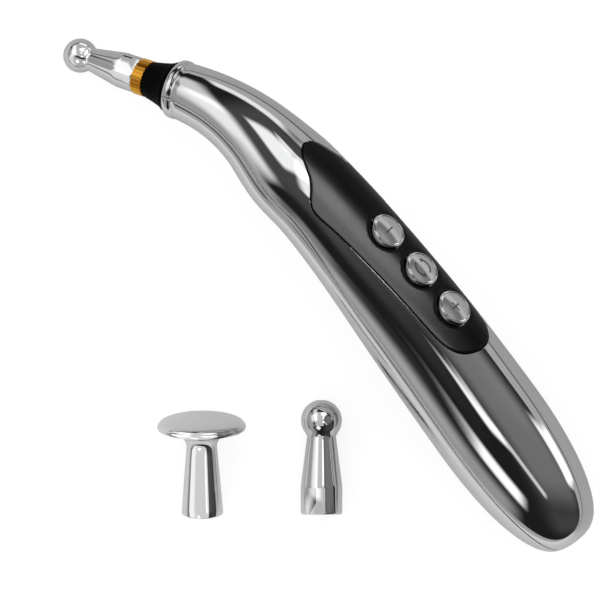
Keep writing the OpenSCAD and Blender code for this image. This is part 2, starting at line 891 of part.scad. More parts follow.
// A bent spring that joins the board to the chromed shell
module skin_contact() {
    x = board_x1 - 4;
    contact_w = 3;
    contact_t = 0.4;
    contact_d = skin_z(x + 1, contact_w / 2, panel_t + floor_t) - board_z;
    color("goldenrod")
        lie()
            translate([x, 0, board_z + contact_d / 2])
                rotate([90, 0, 0])
                    linear_extrude(contact_w, center = true)
                        difference() {
                            circle(d = contact_d, $fn = 48);
                            circle(d = contact_d - 2 * contact_t, $fn = 48);
                            translate([0, -contact_d / 8])
                                square([contact_d, contact_d / 4]);
                        }
}
module board_screws() {
    screw_head = 1;
    color("silver")
        lie() {
            translate([0, 0, under_board - screw_head / 2])
                linear_extrude(board_t + board_screw_l + screw_head / 2)
                    board_spots(board_screw_d);
            translate([0, 0, under_board - screw_head])
                linear_extrude(screw_head)
                    board_spots(board_screw_d + 1.6);
        }
}
module shell_screws() {
    slot_l = screw_head_d * 0.6;
    slot_w = 0.6;
    color("silver")
        lie()
            for (x = screw_x)
                translate([x, 0, head_z(x)]) {
                    cylinder(h = screw_l, d = screw_d, $fn = 32);
                    translate([0, 0, -head_t])
                        difference() {
                            cylinder(h = head_t, d = screw_head_d, $fn = 32);
                            for (turn = [0, 90])
                                rotate(turn)
                                    translate([-slot_l / 2, -slot_w / 2, -1])
                                        cube([slot_l, slot_w, 1.8]);
                        }
                }
}

// The battery, its tray and its contacts
module along_x(x, r, l) {
    translate([x, 0, cell_z])
        rotate([0, 90, 0])
            cylinder(h = l, r = r, $fn = 60);
}
module over(z) {
    intersection() {
        children();
        translate([-far, -far, z])
            cube([3 * far, 2 * far, far]);
    }
}
housing_r = 4.3;
tab_w = 3;
tab_y = 2;
tab_z = cell_z + 8.8;
module battery_tray() {
    trough_x = cell_x - 0.4;
    end_low = cell_z - 5;
    color([0.12, 0.12, 0.13])
        lie()
            difference() {
                union() {
                    over(tray_edge)
                        along_x(trough_x - tray_t, tray_r + tray_t, tray_front - trough_x + tray_t);
                    over(end_low)
                        along_x(tray_front - tray_end, tray_r + tray_t, tray_end);
                    over(end_low)
                        along_x(tray_back, housing_r + tray_t, trough_x - tray_back);
                    translate([wing_x0, -tray_r - tray_t - wing_w, tray_edge])
                        cube([wing_x1 - wing_x0, 2 * (tray_r + tray_t + wing_w), wing_t]);
                }
                along_x(trough_x, tray_r, plate_x + plate_t - trough_x);
                along_x(tray_back + tray_end, housing_r, far - tray_back);
                translate([spring_back - wire_d / 2 - 0.1, -wire_d, cell_z])
                    cube([wing_x0 - 8 - spring_back, 3.8 * wire_d, far]);
                translate([plate_x - 0.1, tab_y - 0.2, cell_z])
                    cube([plate_t + 0.1, tab_w + 0.4, far]);
            }
}
module battery() {
    color("darkorange")
        lie() {
            along_x(cell_x, cell_d / 2, cell_l);
            along_x(cell_x + cell_l - eps, 2.75, nub_l + eps);
        }
}
module positive_plate() {
    plate_w = 8;
    color("silver")
        lie()
            translate([plate_x, 0, 0]) {
                translate([0, -plate_w / 2, cell_z - plate_w / 2])
                    cube([plate_t, plate_w, plate_w]);
                translate([0, tab_y, cell_z])
                    cube([plate_t, tab_w - 1, tab_z - cell_z + 1]);
            }
}

// A tube swept along points, whose ends stand square to two given directions
function unit(v) = v / norm(v);
function run_of(p, i, from, to) =
    i == 0 ? unit(from) :
    i == len(p) - 1 ? unit(to) :
    unit(p[i + 1] - p[i - 1]);
function square_to(n, t) = unit(n - t * (n * t));
module tube(p, d, from, to, side = [0, 1, 0], sides = 8) {
    skin_over([for (i = [0:len(p) - 1])
        let (t = run_of(p, i, from, to))
        let (n = square_to(side, t))
        let (b = cross(n, t))
        [for (j = [0:sides - 1])
            p[i] + (n * cos(360 * j / sides) + b * sin(360 * j / sides)) * d / 2]], 8);
}
// Points of a curve that leaves a along u and comes to b along v
function bend(a, u, b, v, steps) = [for (i = [0:steps])
    let (t = i / steps)
    let (s = 1 - t)
    a * s * s * s + (a + u) * 3 * s * s * t + (b - v) * 3 * s * t * t + b * t * t * t];
module lead(a, u, b, v, d = wire_d) {
    tube(bend(a, u, b, v, 12), d, u, v, [0, 0.8, 0.6]);
}
spring_back = cell_x - spring_l + spring_wire / 2;
spring_r = [3.6, 2.4];
module negative_spring() {
    steps = 12;
    count = spring_turns * steps;
    coil = [for (i = [0:count])
        let (r = blend(spring_r[0], spring_r[1], i / count))
        [spring_back + (spring_l - spring_wire) * i / count,
            r * sin(360 * i / steps), cell_z + r * cos(360 * i / steps)]];
    color("silver")
        lie()
            tube(coil, spring_wire, [0, 1, 0], [0, 1, 0], [1, 0, 0], 6);
}
lead_lift = 9.6;
module negative_lead() {
    rear = [spring_back, 0, cell_z + spring_r[0] + spring_wire / 2];
    turn = [wing_x0, 5, cell_z + lead_lift];
    front = [board_x0 + pad_in, pad_y + 2.6, under_board];
    color([0.1, 0.1, 0.1])
        lie()
            tube(concat(
                bend(rear, [0, 0, 5], turn, [6, 1, 0], 9),
                [for (x = [wing_x0 + 6:6:wing_x1]) [x, 5, cell_z + lead_lift]],
                bend([wing_x1 + 2, 5, cell_z + lead_lift], [4, 0, 0], front, [0, 0, 2.4], 8)
            ), wire_d, [0, 0, 1], [0, 0, 1], [0, 0.8, 0.6]);
}
// Where the leads meet the board: from its ends and its middle line
pad_in = 1.4;
pad_y = 4.4;
pad_pitch = 1.6;
module positive_lead() {
    color("firebrick")
        lie()
            lead(
                [plate_x + plate_t, tab_y + tab_w / 3, tab_z + wire_d * 0.4], [2 * wire_d, 0, 0],
                [board_x0 + pad_in, pad_y, under_board], [0, 0, 2.2 * wire_d]
            );
}
nut_back = -root_l - nut_t;
stud_back = nut_back - 1.4;
// Length over which the leads straighten before the nose
lead_run = (body_l - board_x1) * 0.22;
module electrode_lead() {
    color("gold")
        lie()
            lead(
                [board_x1 - pad_in, -pad_y, under_board], [0, 0, -2.4 * wire_d],
                nose_point(nut_back, -(stud_d + wire_d) / 2 - 0.3), nose_dir * lead_run
            );
}
module lamp_leads() {
    color("silver")
        lie()
            for (s = [-1, 1])
                lead(
                    [board_x1 - pad_in, pad_y + s * pad_pitch / 2, under_board], [0, 0, -pad_pitch],
                    nose_point(stud_back - lamp_flange, s * pad_pitch / 2), nose_dir * lead_run, lead_d
                );
}

// The cone, the brass ring and the stud
module neck_cone() {
    low = root_d / 2 - groove_deep;
    color([0.02, 0.02, 0.02])
        lie()
            at_nose()
                difference() {
                    rotate_extrude($fn = 64)
                        polygon([
                            [0, -root_l],
                            [root_d / 2 - 0.3, -root_l],
                            [root_d / 2, -root_l + 0.3],
                            [root_d / 2, groove_at],
                            [low, groove_at],
                            [low, groove_at + groove_w],
                            [root_d / 2, groove_at + groove_w],
                            [root_d / 2, -cone_seat],
                            [cone_d / 2, -cone_seat],
                            [cone_d / 2, cone_shoulder * 0.6],
                            [cone_d / 2 - 0.12, cone_shoulder],
                            [cone_d / 2 - 0.45, cone_shoulder + 0.9],
                            [ring_d / 2 - 0.2, cone_l - 0.3],
                            [ring_d / 2 - 0.5, cone_l],
                            [0, cone_l]
                        ]);
                    translate([0, 0, -far])
                        cylinder(h = 2 * far, d = stud_d, $fn = 48);
                }
}
module knurled_ring() {
    rib_w = PI * ring_d / ring_ribs;
    color([0.75, 0.5, 0.1])
        lie()
            at_nose(cone_l)
                linear_extrude(ring_l)
                    difference() {
                        circle(d = ring_d, $fn = 96);
                        circle(d = stud_d, $fn = 48);
                        for (i = [0:ring_ribs - 1])
                            rotate(360 * i / ring_ribs)
                                translate([ring_d / 2 - rib_deep, 0])
                                    polygon([
                                        [0, -rib_w * 0.1],
                                        [rib_deep + 0.1, -rib_w * 0.28],
                                        [rib_deep + 0.1, rib_w * 0.28],
                                        [0, rib_w * 0.1]
                                    ]);
                    }
}
module electrode_stud() {
    lamp_room = lamp_l + 0.2;
    color([0.8, 0.62, 0.25])
        lie()
            at_nose(stud_back)
                difference() {
                    cylinder(h = tip_base_at + stud_reach - stud_back, d = stud_d, $fn = 48);
                    translate([0, 0, -1])
                        cylinder(h = far, d = channel_d, $fn = 32);
                    translate([0, 0, -1])
                        cylinder(h = lamp_room + 1, d = lamp_d + 0.1, $fn = 32);
                }
}
module stud_nut() {
    color("silver")
        lie()
            at_nose(nut_back)
                difference() {
                    cylinder(h = nut_t, d = nut_w / cos(30), $fn = 6);
                    translate([0, 0, -1])
                        cylinder(h = far, d = stud_d, $fn = 48);
                }
}
lamp_flange = 0.8;
module tip_lamp() {
    color("red")
        lie()
            at_nose(stud_back) {
                cylinder(h = lamp_l - lamp_d / 2, d = lamp_d, $fn = 48);
                translate([0, 0, -lamp_flange])
                    cylinder(h = lamp_flange, d = lamp_d + 0.8, $fn = 48);
                translate([0, 0, lamp_l - lamp_d / 2])
                    sphere(d = lamp_d, $fn = 48);
            }
}

// The tips
module bored_tip(light) {
    difference() {
        children();
        translate([0, 0, -1])
            cylinder(h = tip_bore_l + 1, d = stud_d + 2 * stud_gap, $fn = 48);
        if (light)
            translate([0, 0, -1])
                cylinder(h = far, d = channel_d, $fn = 32);
    }
}
// A ball on a waisted cone, on a base with two flats for a wrench
module ball_form(ball, at, neck, base, base_l, flat_turn) {
    chamfer = 0.6;
    // Distance from the ball's centre at which the cone has the neck's diameter
    neck_back = 0.42 * ball;
    slope = (base - neck) / (at - neck_back - base_l);
    flat_l = base_l - 0.4;
    difference() {
        union() {
            translate([0, 0, at])
                sphere(d = ball, $fn = 96);
            translate([0, 0, base_l])
                cylinder(h = at - base_l, d1 = base, d2 = neck - slope * neck_back, $fn = 64);
            translate([0, 0, chamfer])
                cylinder(h = base_l - chamfer, d = base, $fn = 64);
            cylinder(h = chamfer, d1 = base - 2 * chamfer, d2 = base, $fn = 64);
        }
        for (turn = [0, 180])
            rotate(flat_turn + turn)
                translate([base / 2 - flat_deep, -far / 2, -1])
                    cube([far, far, flat_l + 1]);
    }
}
// Angle at which the thread leaves the fitted tip's flats, and the one at which the spare tip lies
tip_turn = 150;
spare_turn = 160;
module ball_tip() {
    color("gainsboro")
        lie()
            at_nose(tip_base_at)
                bored_tip(true)
                    ball_form(ball_d, ball_at, tip_neck_d, tip_base_d, tip_base_l, tip_turn);
}
module spare_ball_tip() {
    color("gainsboro")
        lie_spare(spare_ball_place, atan((spare_ball_d - spare_base_d) / 2 / spare_ball_at))
            bored_tip(true)
                ball_form(spare_ball_d, spare_ball_at, spare_neck_d, spare_base_d, spare_base_l, spare_turn);
}
// Half of the disc tip's outline: its stem, the hollow underside, the rim and the crown
disc_edge = 0.5;
flare_turns = [for (i = [0:8]) 90 * i / 8];
flare = [for (q = flare_turns) [
    blend(disc_d / 2 - disc_edge, stem_d / 2, cos(q)),
    blend(stem_l, disc_rim_at - disc_rim_t / 2, sin(q))
]];
crown = [for (q = flare_turns) [
    (disc_d / 2 - disc_edge) * cos(q),
    blend(disc_rim_at + disc_rim_t / 2, disc_rim_at + disc_crown, sin(q))
]];
module spare_disc_tip() {
    color("gainsboro")
        lie_spare(spare_disc_place, atan((disc_d - spare_base_d) / 2 / disc_rim_at))
            bored_tip(false)
                rotate_extrude($fn = 96)
                    polygon(concat(
                        [[0, 0], [spare_base_d / 2 - 0.3, 0], [spare_base_d / 2, 0.3]],
                        flare,
                        [for (s = [-0.2, 0.2]) [disc_d / 2, disc_rim_at + s * disc_rim_t]],
                        crown
                    ));
}

upper_shell();
lower_shell();
battery_cover();
control_panel();
minus_key();
mode_key();
plus_key();
minus_plunger();
mode_plunger();
plus_plunger();
minus_switch();
mode_switch();
plus_switch();
circuit_board();
control_chip();
boost_coil();
capacitor();
buzzer();
skin_contact();
board_screws();
shell_screws();
battery_tray();
battery();
negative_spring();
positive_plate();
negative_lead();
positive_lead();
electrode_lead();
lamp_leads();
neck_cone();
knurled_ring();
electrode_stud();
stud_nut();
tip_lamp();
ball_tip();
spare_ball_tip();
spare_disc_tip();
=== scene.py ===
"""Electronic acupuncture pen: the chromed pen, its key panel, its tips and what is inside it."""
import math

import bmesh
import bpy
from bpy.props import FloatProperty, FloatVectorProperty, PointerProperty
from mathutils import Matrix, Vector


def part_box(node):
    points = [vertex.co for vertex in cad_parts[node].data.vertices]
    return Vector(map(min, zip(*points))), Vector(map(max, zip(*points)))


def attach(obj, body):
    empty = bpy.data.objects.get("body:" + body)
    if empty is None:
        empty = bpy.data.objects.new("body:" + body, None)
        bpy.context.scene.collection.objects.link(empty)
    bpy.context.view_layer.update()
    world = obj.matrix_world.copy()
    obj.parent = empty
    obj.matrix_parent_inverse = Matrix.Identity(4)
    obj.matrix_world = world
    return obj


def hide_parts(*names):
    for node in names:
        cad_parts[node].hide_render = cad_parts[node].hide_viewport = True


bl_info = {
    "name": "Acupuncture pen set",
    "version": (1, 0, 0),
    "blender": (4, 5, 0),
    "location": "3D View > Sidebar > Pen",
    "description": "Makes a chromed acupuncture pen with its key panel and three tips",
    "category": "Object",
}

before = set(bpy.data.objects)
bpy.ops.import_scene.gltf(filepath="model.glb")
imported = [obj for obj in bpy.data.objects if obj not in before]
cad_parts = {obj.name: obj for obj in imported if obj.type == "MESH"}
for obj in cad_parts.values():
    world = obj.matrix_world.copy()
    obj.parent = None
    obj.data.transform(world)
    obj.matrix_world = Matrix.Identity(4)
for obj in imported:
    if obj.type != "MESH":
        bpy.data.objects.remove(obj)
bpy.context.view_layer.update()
MM = 0.001


# Sizes and colours
def length(name, text, value):
    return FloatProperty(name=name, description=text, default=value, subtype="DISTANCE", unit="LENGTH")


def angle(name, text, degrees):
    return FloatProperty(
        name=name, description=text, default=math.radians(degrees), subtype="ANGLE", unit="ROTATION")


def colour(name, text, value):
    return FloatVectorProperty(
        name=name, description=text, default=value, size=3, min=0, max=1, subtype="COLOR")


class PenSizes(bpy.types.PropertyGroup):
    """Sizes of the pen's visible pieces, in metres, and how it lies"""
    wall: length("Wall", "Thickness of the shells", 1.8 * MM)
    seam: length("Seam", "Gap between the two shells", 0.15 * MM)
    seam_round: length("Seam edge", "Rounding of the shells' edges", 0.22 * MM)
    panel_depth: length("Panel", "Thickness of the key panel", 1.5 * MM)
    key_width: length("Key", "Diameter of a key", 10.5 * MM)
    key_pitch: length("Key pitch", "Distance from one key to the next", 14.4 * MM)
    key_middle: length("Middle key", "Distance from the butt to the middle key", 88.2 * MM)
    roll: angle("Roll", "Turn of the pen on to its side", 45)
    pitch: angle("Pitch", "Lift of the pen's nose as it lies on its ball", 1.35657)


class PenColours(bpy.types.PropertyGroup):
    """Colours of the pen's finishes"""
    chrome: colour("Chrome", "Bright plating of the shells and tips", (0.78, 0.785, 0.79))
    key: colour("Keys", "Satin face of the keys", (0.56, 0.565, 0.57))
    panel: colour("Panel", "Gloss black of the key panel", (0.002, 0.002, 0.0022))
    neck: colour("Neck", "Black of the neck", (0.0015, 0.0015, 0.0017))
    brass: colour("Brass", "Knurled ring", (0.80, 0.42, 0.05))


class StudioSettings(bpy.types.PropertyGroup):
    """Camera and light"""
    distance: length("Distance", "Height of the camera over the pen", 1.2)
    field: length("Field", "Width of the table that the camera sees", 174 * MM)
    turn: angle("Turn", "Angle of the pen in the picture", 48)
    look: FloatVectorProperty(name="Look", description="Middle of the picture",
                              default=(0.0020, -0.0150, 0.0120), size=3, subtype="XYZ", unit="LENGTH")
    plain: FloatProperty(
        name="Plain light", description="Level of the light on what doesn't shine", default=1.0)


def sizes():
    return bpy.context.scene.pen_sizes


def colours():
    return bpy.context.scene.pen_colours


def studio():
    return bpy.context.scene.pen_studio


# The pen's own axes
# x runs from the butt to the nose, z out of the key panel; lengths there are in millimetres
BODY = 174.0
GRIP = (34.4, 32.8)
WAIST = (30.0, 23.8)
NOSE = 16.4
ARCH = 15.1
NOSE_Z = 2.7
NOSE_TILT = math.radians(37)
BUTT = 45.0
FLOOR = -12.6311
CENTRE = (102.824, 27.4846)
BUTT_POWERS = (2.2, 0.3)
SEAM_LIFT = (-1.2, 1.7)
SEAM_RISE = (85, 40)
# x from the butt, or from the nose's rim, with shares of the arch and of the change in depth and in width
REAR_FORM = (
    (0, 0, 0.17, 0.27), (20, 0.19, 0.01, 0), (45, 0.437, 0, 0), (75, 0.715, 0.13, 0.36),
    (105, 0.947, 0.73, 0.55), (BODY - 52, 1, 0.92, 0.88), (BODY - 39, 0.954, 1, 1),
)
FRONT_FORM = ((24, 0.9, 0.47, 0.46), (12, 0.605, 0.77, 0.78), (0, 0, 1, 1))


def mix(a, b, share):
    return a + (b - a) * share


def form_line(rear, front):
    return [(f[0], rear(f)) for f in REAR_FORM] + [(BODY - f[0], front(f)) for f in FRONT_FORM]


MID_LINE = form_line(lambda f: ARCH * f[1], lambda f: mix(NOSE_Z, ARCH, f[1]))
DEPTH_LINE = form_line(lambda f: mix(GRIP[1], WAIST[1], f[2]) / 2, lambda f: mix(WAIST[1], NOSE, f[2]) / 2)
WIDTH_LINE = form_line(lambda f: mix(GRIP[0], WAIST[0], f[3]) / 2, lambda f: mix(WAIST[0], NOSE, f[3]) / 2)


def curve(line, x, last=None):
    """Height at x of a smooth curve through the line's points, whose last slope may be given"""
    end = len(line) - 1
    i = next((k for k in range(end - 1) if x < line[k + 1][0]), end - 1)

    def slope(k):
        if k == end and last is not None:
            return last
        a, b = line[max(k - 1, 0)], line[min(k + 1, end)]
        return (b[1] - a[1]) / (b[0] - a[0])

    span, rise = line[i + 1][0] - line[i][0], line[i + 1][1] - line[i][1]
    t, a, b = (x - line[i][0]) / span, slope(i) * span, slope(i + 1) * span
    return line[i][1] + t * (a + t * (3 * rise - 2 * a - b + t * (a + b - 2 * rise)))


def mid_z(x):
    return curve(MID_LINE, x, -math.tan(NOSE_TILT))


def mid_angle(x):
    step = 0.1
    x = min(x, BODY - step)
    return math.atan((mid_z(x + step) - mid_z(x - step)) / (2 * step))


def butt_share(x):
    """How much of its full section the body has near the butt"""
    left = min(max((BUTT - x) / BUTT, 0), 1)
    return (1 - left ** BUTT_POWERS[0]) ** BUTT_POWERS[1]


def half_depth(x, inset=0):
    return (curve(DEPTH_LINE, x) - inset) * butt_share(x - inset)


def half_width(x, inset=0):
    return (curve(WIDTH_LINE, x) - inset) * butt_share(x - inset)


def skin_z(x, y):
    """Height of the body's surface on the panel's side"""
    rise = half_depth(x) * math.sqrt(1 - (y / half_width(x)) ** 2)
    return mid_z(x) + rise / math.cos(mid_angle(x))


def ease(t):
    t = min(max(t, 0), 1)
    return t * t * (3 - 2 * t)


def seam_lift(x):
    """Height of the seam over the body's middle line, which rises over a length from its start"""
    start, over = SEAM_RISE
    return mix(*SEAM_LIFT, ease((x - start) / over))


def to_set():
    """From the pen's own axes, in millimetres, to its place on the table, in metres"""
    s = sizes()
    lie = Matrix.Rotation(-s.pitch, 4, "Y") @ Matrix.Rotation(s.roll, 4, "X")
    place = Matrix.Translation((-CENTRE[0], -CENTRE[1], -FLOOR))
    return Matrix.Diagonal((MM, MM, MM, 1)) @ place @ lie


def at_nose(along=0.0):
    """From axes that run out of the nose, along z, to the pen's own"""
    return (Matrix.Translation((BODY, 0, NOSE_Z)) @ Matrix.Rotation(math.pi / 2 + NOSE_TILT, 4, "Y")
            @ Matrix.Translation((0, 0, along)))


# Making meshes
def sheet(columns, rows, place):
    """A sheet of quads whose corners place(u, v) puts where they belong, with u and v from 0 to 1"""
    bm = bmesh.new()
    bmesh.ops.create_grid(bm, x_segments=columns, y_segments=rows, size=0.5)
    for v in bm.verts:
        v.co = place(round((v.co.x + 0.5) * columns), round((v.co.y + 0.5) * rows))
    bmesh.ops.remove_doubles(bm, verts=bm.verts, dist=1e-4)
    bmesh.ops.recalc_face_normals(bm, faces=bm.faces)
    return bm


def lathe(outline, turns):
    """A solid of revolution about z from its outline of (radius, height) points"""
    bm = bmesh.new()
    points = [bm.verts.new((r, 0, z)) for r, z in outline]
    edges = [bm.edges.new(pair) for pair in zip(points, points[1:] + points[:1])]
    bmesh.ops.spin(bm, geom=points + edges, cent=(0, 0, 0), axis=(0, 0, 1), angle=2 * math.pi,
                   steps=turns, use_merge=True)
    bmesh.ops.remove_doubles(bm, verts=bm.verts, dist=1e-5)
    bmesh.ops.recalc_face_normals(bm, faces=bm.faces)
    return bm


def arc(centre, radius, start, end, steps):
    """Points of an arc in a lathe's outline, with its angles in degrees"""
    turns = [math.radians(mix(start, end, i / steps)) for i in range(steps + 1)]
    return [(centre[0] + radius * math.cos(t), centre[1] + radius * math.sin(t)) for t in turns]


def finish_mesh(bm, name, place, sharp=35):
    """Puts a bmesh in its place and makes it an object with smooth faces and sharp edges"""
    bm.transform(place)
    for face in bm.faces:
        face.smooth = True
    mesh = bpy.data.meshes.new(name)
    bm.to_mesh(mesh)
    bm.free()
    mesh.set_sharp_from_angle(angle=math.radians(sharp))
    obj = bpy.data.objects.new(name, mesh)
    bpy.context.scene.collection.objects.link(obj)
    return obj


def cut(obj, cutters, how="DIFFERENCE", sharp=35):
    """Cuts an object with others, which are used up"""
    for cutter in cutters:
        mod = obj.modifiers.new("cut", "BOOLEAN")
        mod.operation, mod.solver, mod.object = how, "EXACT", cutter
        mod.material_mode = "TRANSFER"
    bpy.context.view_layer.update()
    done = bpy.data.meshes.new_from_object(obj.evaluated_get(bpy.context.evaluated_depsgraph_get()))
    obj.modifiers.clear()
    obj.data = done
    for cutter in cutters:
        bpy.data.objects.remove(cutter)
    done.set_sharp_from_angle(angle=math.radians(sharp))
    return obj


def dress(obj, material, body, slot, *nodes):
    """Gives a new piece its finish and says which body it rides on and which nodes it stands for"""
    obj.data.materials.clear()
    obj.data.materials.append(material)
    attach(obj, body)
    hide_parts(*nodes)


# Finishes
def node_group(name, inputs, outputs):
    """An empty shader node group with the given sockets, as (name, kind, default)"""
    group = bpy.data.node_groups.new(name, "ShaderNodeTree")
    for label, kind, value in inputs:
        socket = group.interface.new_socket(label, in_out="INPUT", socket_type=kind)
        if value is not None:
            socket.default_value = value
    for label, kind in outputs:
        group.interface.new_socket(label, in_out="OUTPUT", socket_type=kind)
    return group, group.nodes.new("NodeGroupInput"), group.nodes.new("NodeGroupOutput")


def chain(tree, kind, links=(), **values):
    """A shader node with its settings, its linked inputs and its values, by socket name or number"""
    made = tree.nodes.new("ShaderNode" + kind)
    for key, value in values.items():
        setattr(made, key, value)
    for socket, source in dict(links).items():
        if isinstance(source, bpy.types.NodeSocket):
            tree.links.new(source, made.inputs[socket])
        else:
            made.inputs[socket].default_value = source
    return made


FLOAT, VECTOR = "NodeSocketFloat", "NodeSocketVector"


def handling_marks():
    """Shared effect: the slight unevenness and the faint smears of a handled, plated surface"""
    tree, into, out = node_group(
        "handling_marks",
        [("Scale", FLOAT, 60.0), ("Rough", FLOAT, 0.06), ("Smear", FLOAT, 0.05), ("Ripple", FLOAT, 0.1)],
        [("Roughness", FLOAT), ("Normal", VECTOR)])
    where = chain(tree, "TexCoord").outputs["Object"]
    smears = chain(tree, "TexNoise", {
        "Vector": where, "Scale": into.outputs["Scale"], "Detail": 5.0, "Roughness": 0.62, "Distortion": 0.8})
    level = chain(tree, "MapRange", {
        "Value": smears.outputs["Fac"], "From Min": 0.48, "From Max": 0.75, "To Min": 0.0,
        "To Max": into.outputs["Smear"]}, interpolation_type="SMOOTHSTEP")
    rough = chain(tree, "Math", {0: level.outputs[0], 1: into.outputs["Rough"]}, operation="ADD")
    ripple = chain(tree, "TexNoise", {"Vector": where, "Scale": 140.0, "Detail": 1.0})
    bump = chain(tree, "Bump", {
        "Height": ripple.outputs["Fac"], "Strength": into.outputs["Ripple"], "Distance": 0.00004})
    tree.links.new(rough.outputs[0], out.inputs["Roughness"])
    tree.links.new(bump.outputs[0], out.inputs["Normal"])
    return tree


SOCKETS = {"ior": "IOR", "specular_ior_level": "Specular IOR Level"}


def material(name, base, **sockets):
    """A material with a Principled shader, and that shader"""
    made = bpy.data.materials.new(name)
    made.use_nodes = True
    shader = made.node_tree.nodes["Principled BSDF"]
    shader.inputs["Base Color"].default_value = (*base, 1)
    for key, value in sockets.items():
        shader.inputs[SOCKETS.get(key, key.replace("_", " ").title())].default_value = value
    return made, shader


def marked(name, base, marks, **sockets):
    """A new material with the handling marks, whose values are (scale, rough, smear, ripple)"""
    made, shader = material(name, base, **sockets)
    group = bpy.data.node_groups.get("handling_marks") or handling_marks()
    node = chain(made.node_tree, "Group", node_tree=group)
    for i, value in enumerate(marks):
        node.inputs[i].default_value = value
    for socket in ("Roughness", "Normal"):
        made.node_tree.links.new(node.outputs[socket], shader.inputs[socket])
    return made


def shared(name, *values, **sockets):
    """A marked material that several pieces have, made once"""
    return bpy.data.materials.get(name) or marked(name, *values, **sockets)


def chrome():
    return shared("bright_chrome", colours().chrome, (70.0, 0.02, 0.015, 0.02), metallic=1.0)


def black_gloss():
    return shared("gloss_black", colours().panel, (90.0, 0.28, 0.03, 0.02), specular_ior_level=0.10)


def neck_black():
    return shared("neck_black", colours().neck, (200.0, 0.5, 0.1, 0.2), specular_ior_level=0.03)


def key_metal():
    return shared("key_metal", colours().key, (160.0, 0.24, 0.05, 0.03), metallic=1.0)


# The shells
NOSE_ROWS = (  # distance from the rim, outer radius, inner radius
    (-3.2, 8.22, 6.3), (-2.8, 8.25, 6.3), (-2.55, 8.31, 6.3), (-2.42, 8.43, 6.3), (-2.3, 8.53, 6.3),
    (-2.05, 8.62, 6.3), (-1.7, 8.66, 6.3), (-1.3, 8.68, 6.3), (-1.25, 8.68, 7.6), (-0.9, 8.66, 7.6),
    (-0.5, 8.6, 7.6), (-0.25, 8.5, 7.6), (-0.08, 8.36, 7.6), (0, 8.16, 7.6), (0, 7.9, 7.9),
)
BUTT_ROWS, BODY_ROWS, ARC_COLUMNS = 56, 130, 80
BUTT_CROWDING = 2.6
BODY_END = BODY + NOSE_ROWS[0][0] * math.cos(NOSE_TILT) - 0.5
# Where the seam's height starts to follow the nose's tilt, and over what length
NOSE_BLEND = (160, 14)


def shell_section(row, inset):
    """Centre, tilt, half depth, half width and the seam's share of the height of one section of the body"""
    if row <= BUTT_ROWS:
        x = inset + (BUTT - inset) * (row / BUTT_ROWS) ** BUTT_CROWDING
    else:
        x = mix(BUTT, BODY_END, min((row - BUTT_ROWS) / BODY_ROWS, 1))
    beyond = row - BUTT_ROWS - BODY_ROWS - 1
    if beyond >= 0:
        back, outer, inner = NOSE_ROWS[beyond]
        radius = mix(outer, inner, inset / (sizes().wall / MM))
        centre = (BODY + back * math.cos(NOSE_TILT), NOSE_Z - back * math.sin(NOSE_TILT))
        return centre, -NOSE_TILT, radius, radius, SEAM_LIFT[1] / NOSE * 2
    start, over = NOSE_BLEND
    lift = seam_lift(x) * mix(math.cos(mid_angle(x)), 1, ease((x - start) / over))
    share = lift / curve(DEPTH_LINE, x)
    return (x, mid_z(x)), mid_angle(x), half_depth(x, inset), half_width(x, inset), share


def shell_columns():
    """Each column of a shell's sheet in its section: share of the arc, step from the seam, depth"""
    wall, edge = sizes().wall / MM, sizes().seam_round / MM
    ends = (0, ARC_COLUMNS)
    turns = [math.pi * k / 8 for k in range(1, 4)]
    turn = [(edge * (1 - math.sin(t)), edge * (1 - math.cos(t))) for t in turns]
    outer = [(k / ARC_COLUMNS, edge if k in ends else None, 0) for k in range(ARC_COLUMNS + 1)]
    down = [(1, s, d) for s, d in turn] + [(1, 0, edge), (1, 0, wall * 0.5), (1, 0, wall)]
    inner = [(1 - k / ARC_COLUMNS, 0 if k in ends else None, wall) for k in range(1, ARC_COLUMNS + 1)]
    up = [(0, 0, wall * 0.5), (0, 0, edge)] + [(0, s, d) for s, d in reversed(turn)]
    return outer + down + inner + up + outer[:1]


def shell_mesh(upper):
    """One of the two shells, a closed wall with rounded edges at the seam and a bead round the nose"""
    columns, gap, edge = shell_columns(), sizes().seam / MM / 2, sizes().seam_round / MM
    last_row = BUTT_ROWS + BODY_ROWS + len(NOSE_ROWS)

    def place(i, row):
        share, step, inset = columns[i]
        (cx, cz), tilt, d, w, lift = shell_section(row, inset)
        half = math.acos(lift) if upper else math.pi - math.acos(lift)
        from_seam = gap + (edge if step is None else step)
        reach = half - min(from_seam / max(w, 1e-6), half * 0.5)
        q = mix(-reach, reach, share) + (0 if upper else math.pi)
        out = d * math.cos(q)
        return Vector((cx - out * math.sin(tilt), w * math.sin(q), cz + out * math.cos(tilt)))

    return sheet(len(columns) - 1, last_row, place)


def smooth_outline(points, count):
    """A closed curve through the given points, as evenly spaced points"""
    n, fine, dense = len(points), 16, []
    for i in range(n):
        a, b, c, d = (Vector(points[(i + k - 1) % n]) for k in range(4))
        for k in range(fine):
            t = k / fine
            dense.append(0.5 * (2 * b + (c - a) * t + (2 * a - 5 * b + 4 * c - d) * t * t
                                + (3 * b - a - 3 * c + d) * t ** 3))
    steps = [(dense[(i + 1) % len(dense)] - dense[i]).length for i in range(len(dense))]
    total, out, i, run = sum(steps), [], 0, 0.0
    for k in range(count):
        while run + steps[i] < total * k / count:
            run, i = run + steps[i], i + 1
        out.append(dense[i].lerp(dense[(i + 1) % len(dense)], (total * k / count - run) / steps[i]))
    return out


